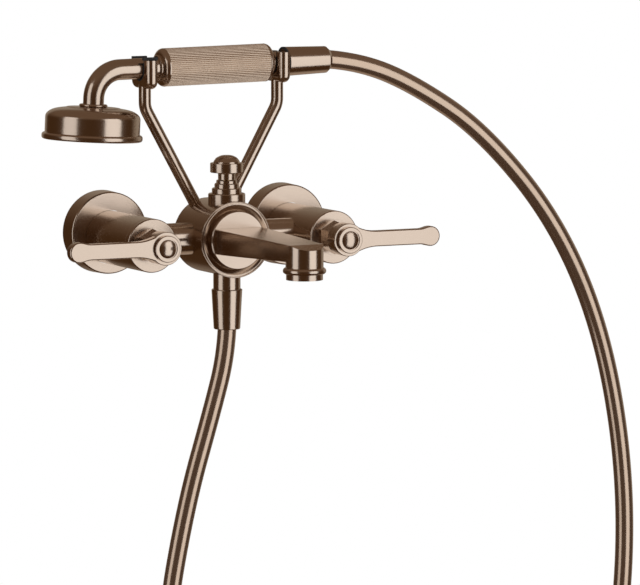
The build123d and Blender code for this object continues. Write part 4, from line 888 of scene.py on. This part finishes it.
@dataclass
class TailThreads:
    """The pipe threads on the two tails that go into the wall.

    Args:
        places: For each tail, its side's name and its place along X in metres.
        height: Height of the tails' axes in metres.
        middle_radius: Radius of the ridge's middle line in metres.
        ridge_radius: Metres from the ridge's middle line to its corners.
        ridge_sides: Sides of the ridge.
        pitch: Metres from one turn to the next.
        turns: Turns of the thread.
        turn_steps: Steps in one turn.
        start: Metres from the wall's face to the first turn.
        smooth_angle: Degrees between faces up to which an edge is smooth.
    """

    places: tuple[tuple[str, float], ...] = (("left", -0.075), ("right", 0.075))
    height: float = 0.003
    middle_radius: float = 0.01022
    ridge_radius: float = 0.0005
    ridge_sides: int = 3
    pitch: float = 0.001814
    turns: int = 12
    turn_steps: int = 48
    start: float = 0.0015
    smooth_angle: float = 30.0

    def build(self) -> list[bpy.types.Object]:
        """Build one thread on each tail.

        Returns:
            The two threads.
        """
        return [self._thread(side, across) for side, across in self.places]

    def _thread(self, side: str, across: float) -> bpy.types.Object:
        """Wind a ridge round one tail.

        Args:
            side: Name of the tail's side.
            across: The tail's place along X, in metres.

        Returns:
            The thread.
        """
        deselect()
        bpy.ops.mesh.primitive_circle_add(vertices=self.ridge_sides, radius=self.ridge_radius)
        ridge = bpy.context.object
        ridge.name = f"{side}_tail_thread"
        for corner in ridge.data.vertices:
            corner.co = (self.middle_radius + corner.co.y, 0.0, corner.co.x)
        screw = ridge.modifiers.new("Winding", "SCREW")
        screw.axis = "Z"
        screw.angle = radians(FULL_TURN)
        screw.screw_offset = self.pitch
        screw.iterations = self.turns
        screw.steps = self.turn_steps
        screw.render_steps = self.turn_steps
        choose(ridge)
        bpy.ops.object.modifier_apply(modifier="Winding")
        ridge.rotation_euler = (radians(-RIGHT_ANGLE), 0.0, 0.0)
        ridge.location = (across, self.start, self.height)
        settle()
        finish_mesh(ridge, angle=self.smooth_angle)
        dress(ridge, BARE_BRASS)
        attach(ridge, "mixer")
        return ridge


@dataclass
class SprayNubs:
    """Soft rings round the holes of the spray plate.

    Args:
        middle: Middle of the spray plate's face.
        down: Direction that the spray plate faces.
        plate_radius: Radius of the spray plate in metres.
        circles: For each circle of holes, its share of the plate's radius and its number of holes.
        nub_radius: Radius of a ring's middle line in metres.
        nub_thickness: Half the thickness of a ring in metres.
        nub_segments: Segments round a ring.
        nub_sides: Sides of a ring's section.
        smooth_angle: Degrees between faces up to which an edge is smooth.
    """

    middle: Point = (-0.09832, -0.037, 0.07612)
    down: Point = (-0.050593, 0.0, -0.998719)
    plate_radius: float = 0.03365
    circles: tuple[tuple[float, int], ...] = ((0.2, 6), (0.38, 12), (0.56, 18), (0.74, 24), (0.9, 30))
    nub_radius: float = 0.00092
    nub_thickness: float = 0.00034
    nub_segments: int = 16
    nub_sides: int = 8
    smooth_angle: float = 60.0

    def build(self) -> list[bpy.types.Object]:
        """Build every ring as one piece under the plate.

        Returns:
            The piece alone.
        """
        down = Vector(self.down)
        across = Vector((0.0, 1.0, 0.0))
        along = down.cross(across)
        turn = down.to_track_quat("Z", "Y").to_euler()
        deselect()
        nubs = []
        for share, count in self.circles:
            for step in range(count):
                angle = radians(FULL_TURN) * step / count
                out = share * self.plate_radius * (cos(angle) * across + sin(angle) * along)
                bpy.ops.mesh.primitive_torus_add(
                    major_radius=self.nub_radius, minor_radius=self.nub_thickness,
                    major_segments=self.nub_segments, minor_segments=self.nub_sides,
                    location=Vector(self.middle) + out, rotation=turn,
                )
                nubs.append(bpy.context.object)
        piece = join_as("spray_nubs", nubs)
        finish_mesh(piece, angle=self.smooth_angle)
        dress(piece, BLACK_RUBBER)
        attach(piece, "handset")
        return [piece]


@dataclass
class AeratorGauze:
    """A fine wire gauze under the aerator's insert.

    Args:
        middle: Place of the outlet's axis along X and Y, in metres.
        radius: Radius of the gauze in metres.
        wire_radius: Radius of a wire in metres.
        wire_sides: Sides of a wire.
        spacing: Metres from one wire to the next.
        drop: Metres from the insert's lowest face down to the wires.
        smooth_angle: Degrees between faces up to which an edge is smooth.
    """

    middle: tuple[float, float] = (0.0, -0.195)
    radius: float = 0.0100
    wire_radius: float = 0.00016
    wire_sides: int = 8
    spacing: float = 0.0012
    drop: float = 0.0003
    smooth_angle: float = 50.0

    def build(self) -> list[bpy.types.Object]:
        """Build the crossed wires as one piece just under the insert.

        Returns:
            The piece alone.
        """
        height = lowest(frame["nodes"]["aerator_insert"]) - self.drop
        side_on = radians(RIGHT_ANGLE)
        wires = []
        deselect()
        count = int(self.radius / self.spacing)
        for step in range(-count, count + 1):
            off = step * self.spacing
            reach = 2.0 * (self.radius ** 2 - off ** 2) ** 0.5
            for place, turn in (
                ((self.middle[0] + off, self.middle[1], height), (side_on, 0.0, 0.0)),
                ((self.middle[0], self.middle[1] + off, height), (0.0, side_on, 0.0)),
            ):
                bpy.ops.mesh.primitive_cylinder_add(
                    vertices=self.wire_sides, radius=self.wire_radius, depth=reach,
                    location=place, rotation=turn,
                )
                wires.append(bpy.context.object)
        gauze = join_as("aerator_gauze", wires)
        finish_mesh(gauze, angle=self.smooth_angle)
        dress(gauze, PLAIN_STEEL)
        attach(gauze, "mixer")
        return [gauze]


def main() -> None:
    """Build the camera, the studio and every sub-assembly."""
    logging.basicConfig(level=logging.INFO)
    bpy.context.scene.view_settings.view_transform = "Standard"
    Camera().build()
    LOG.info("camera placed")
    Studio().build()
    LOG.info("studio built")
    for sub_assembly in (
        PlatedShells(), Hose(), GripEnds(), TailThreads(), SprayNubs(), AeratorGauze(),
    ):
        for piece in sub_assembly.build():
            LOG.info("%s ready", piece.name)


if __name__ == "__main__":
    main()
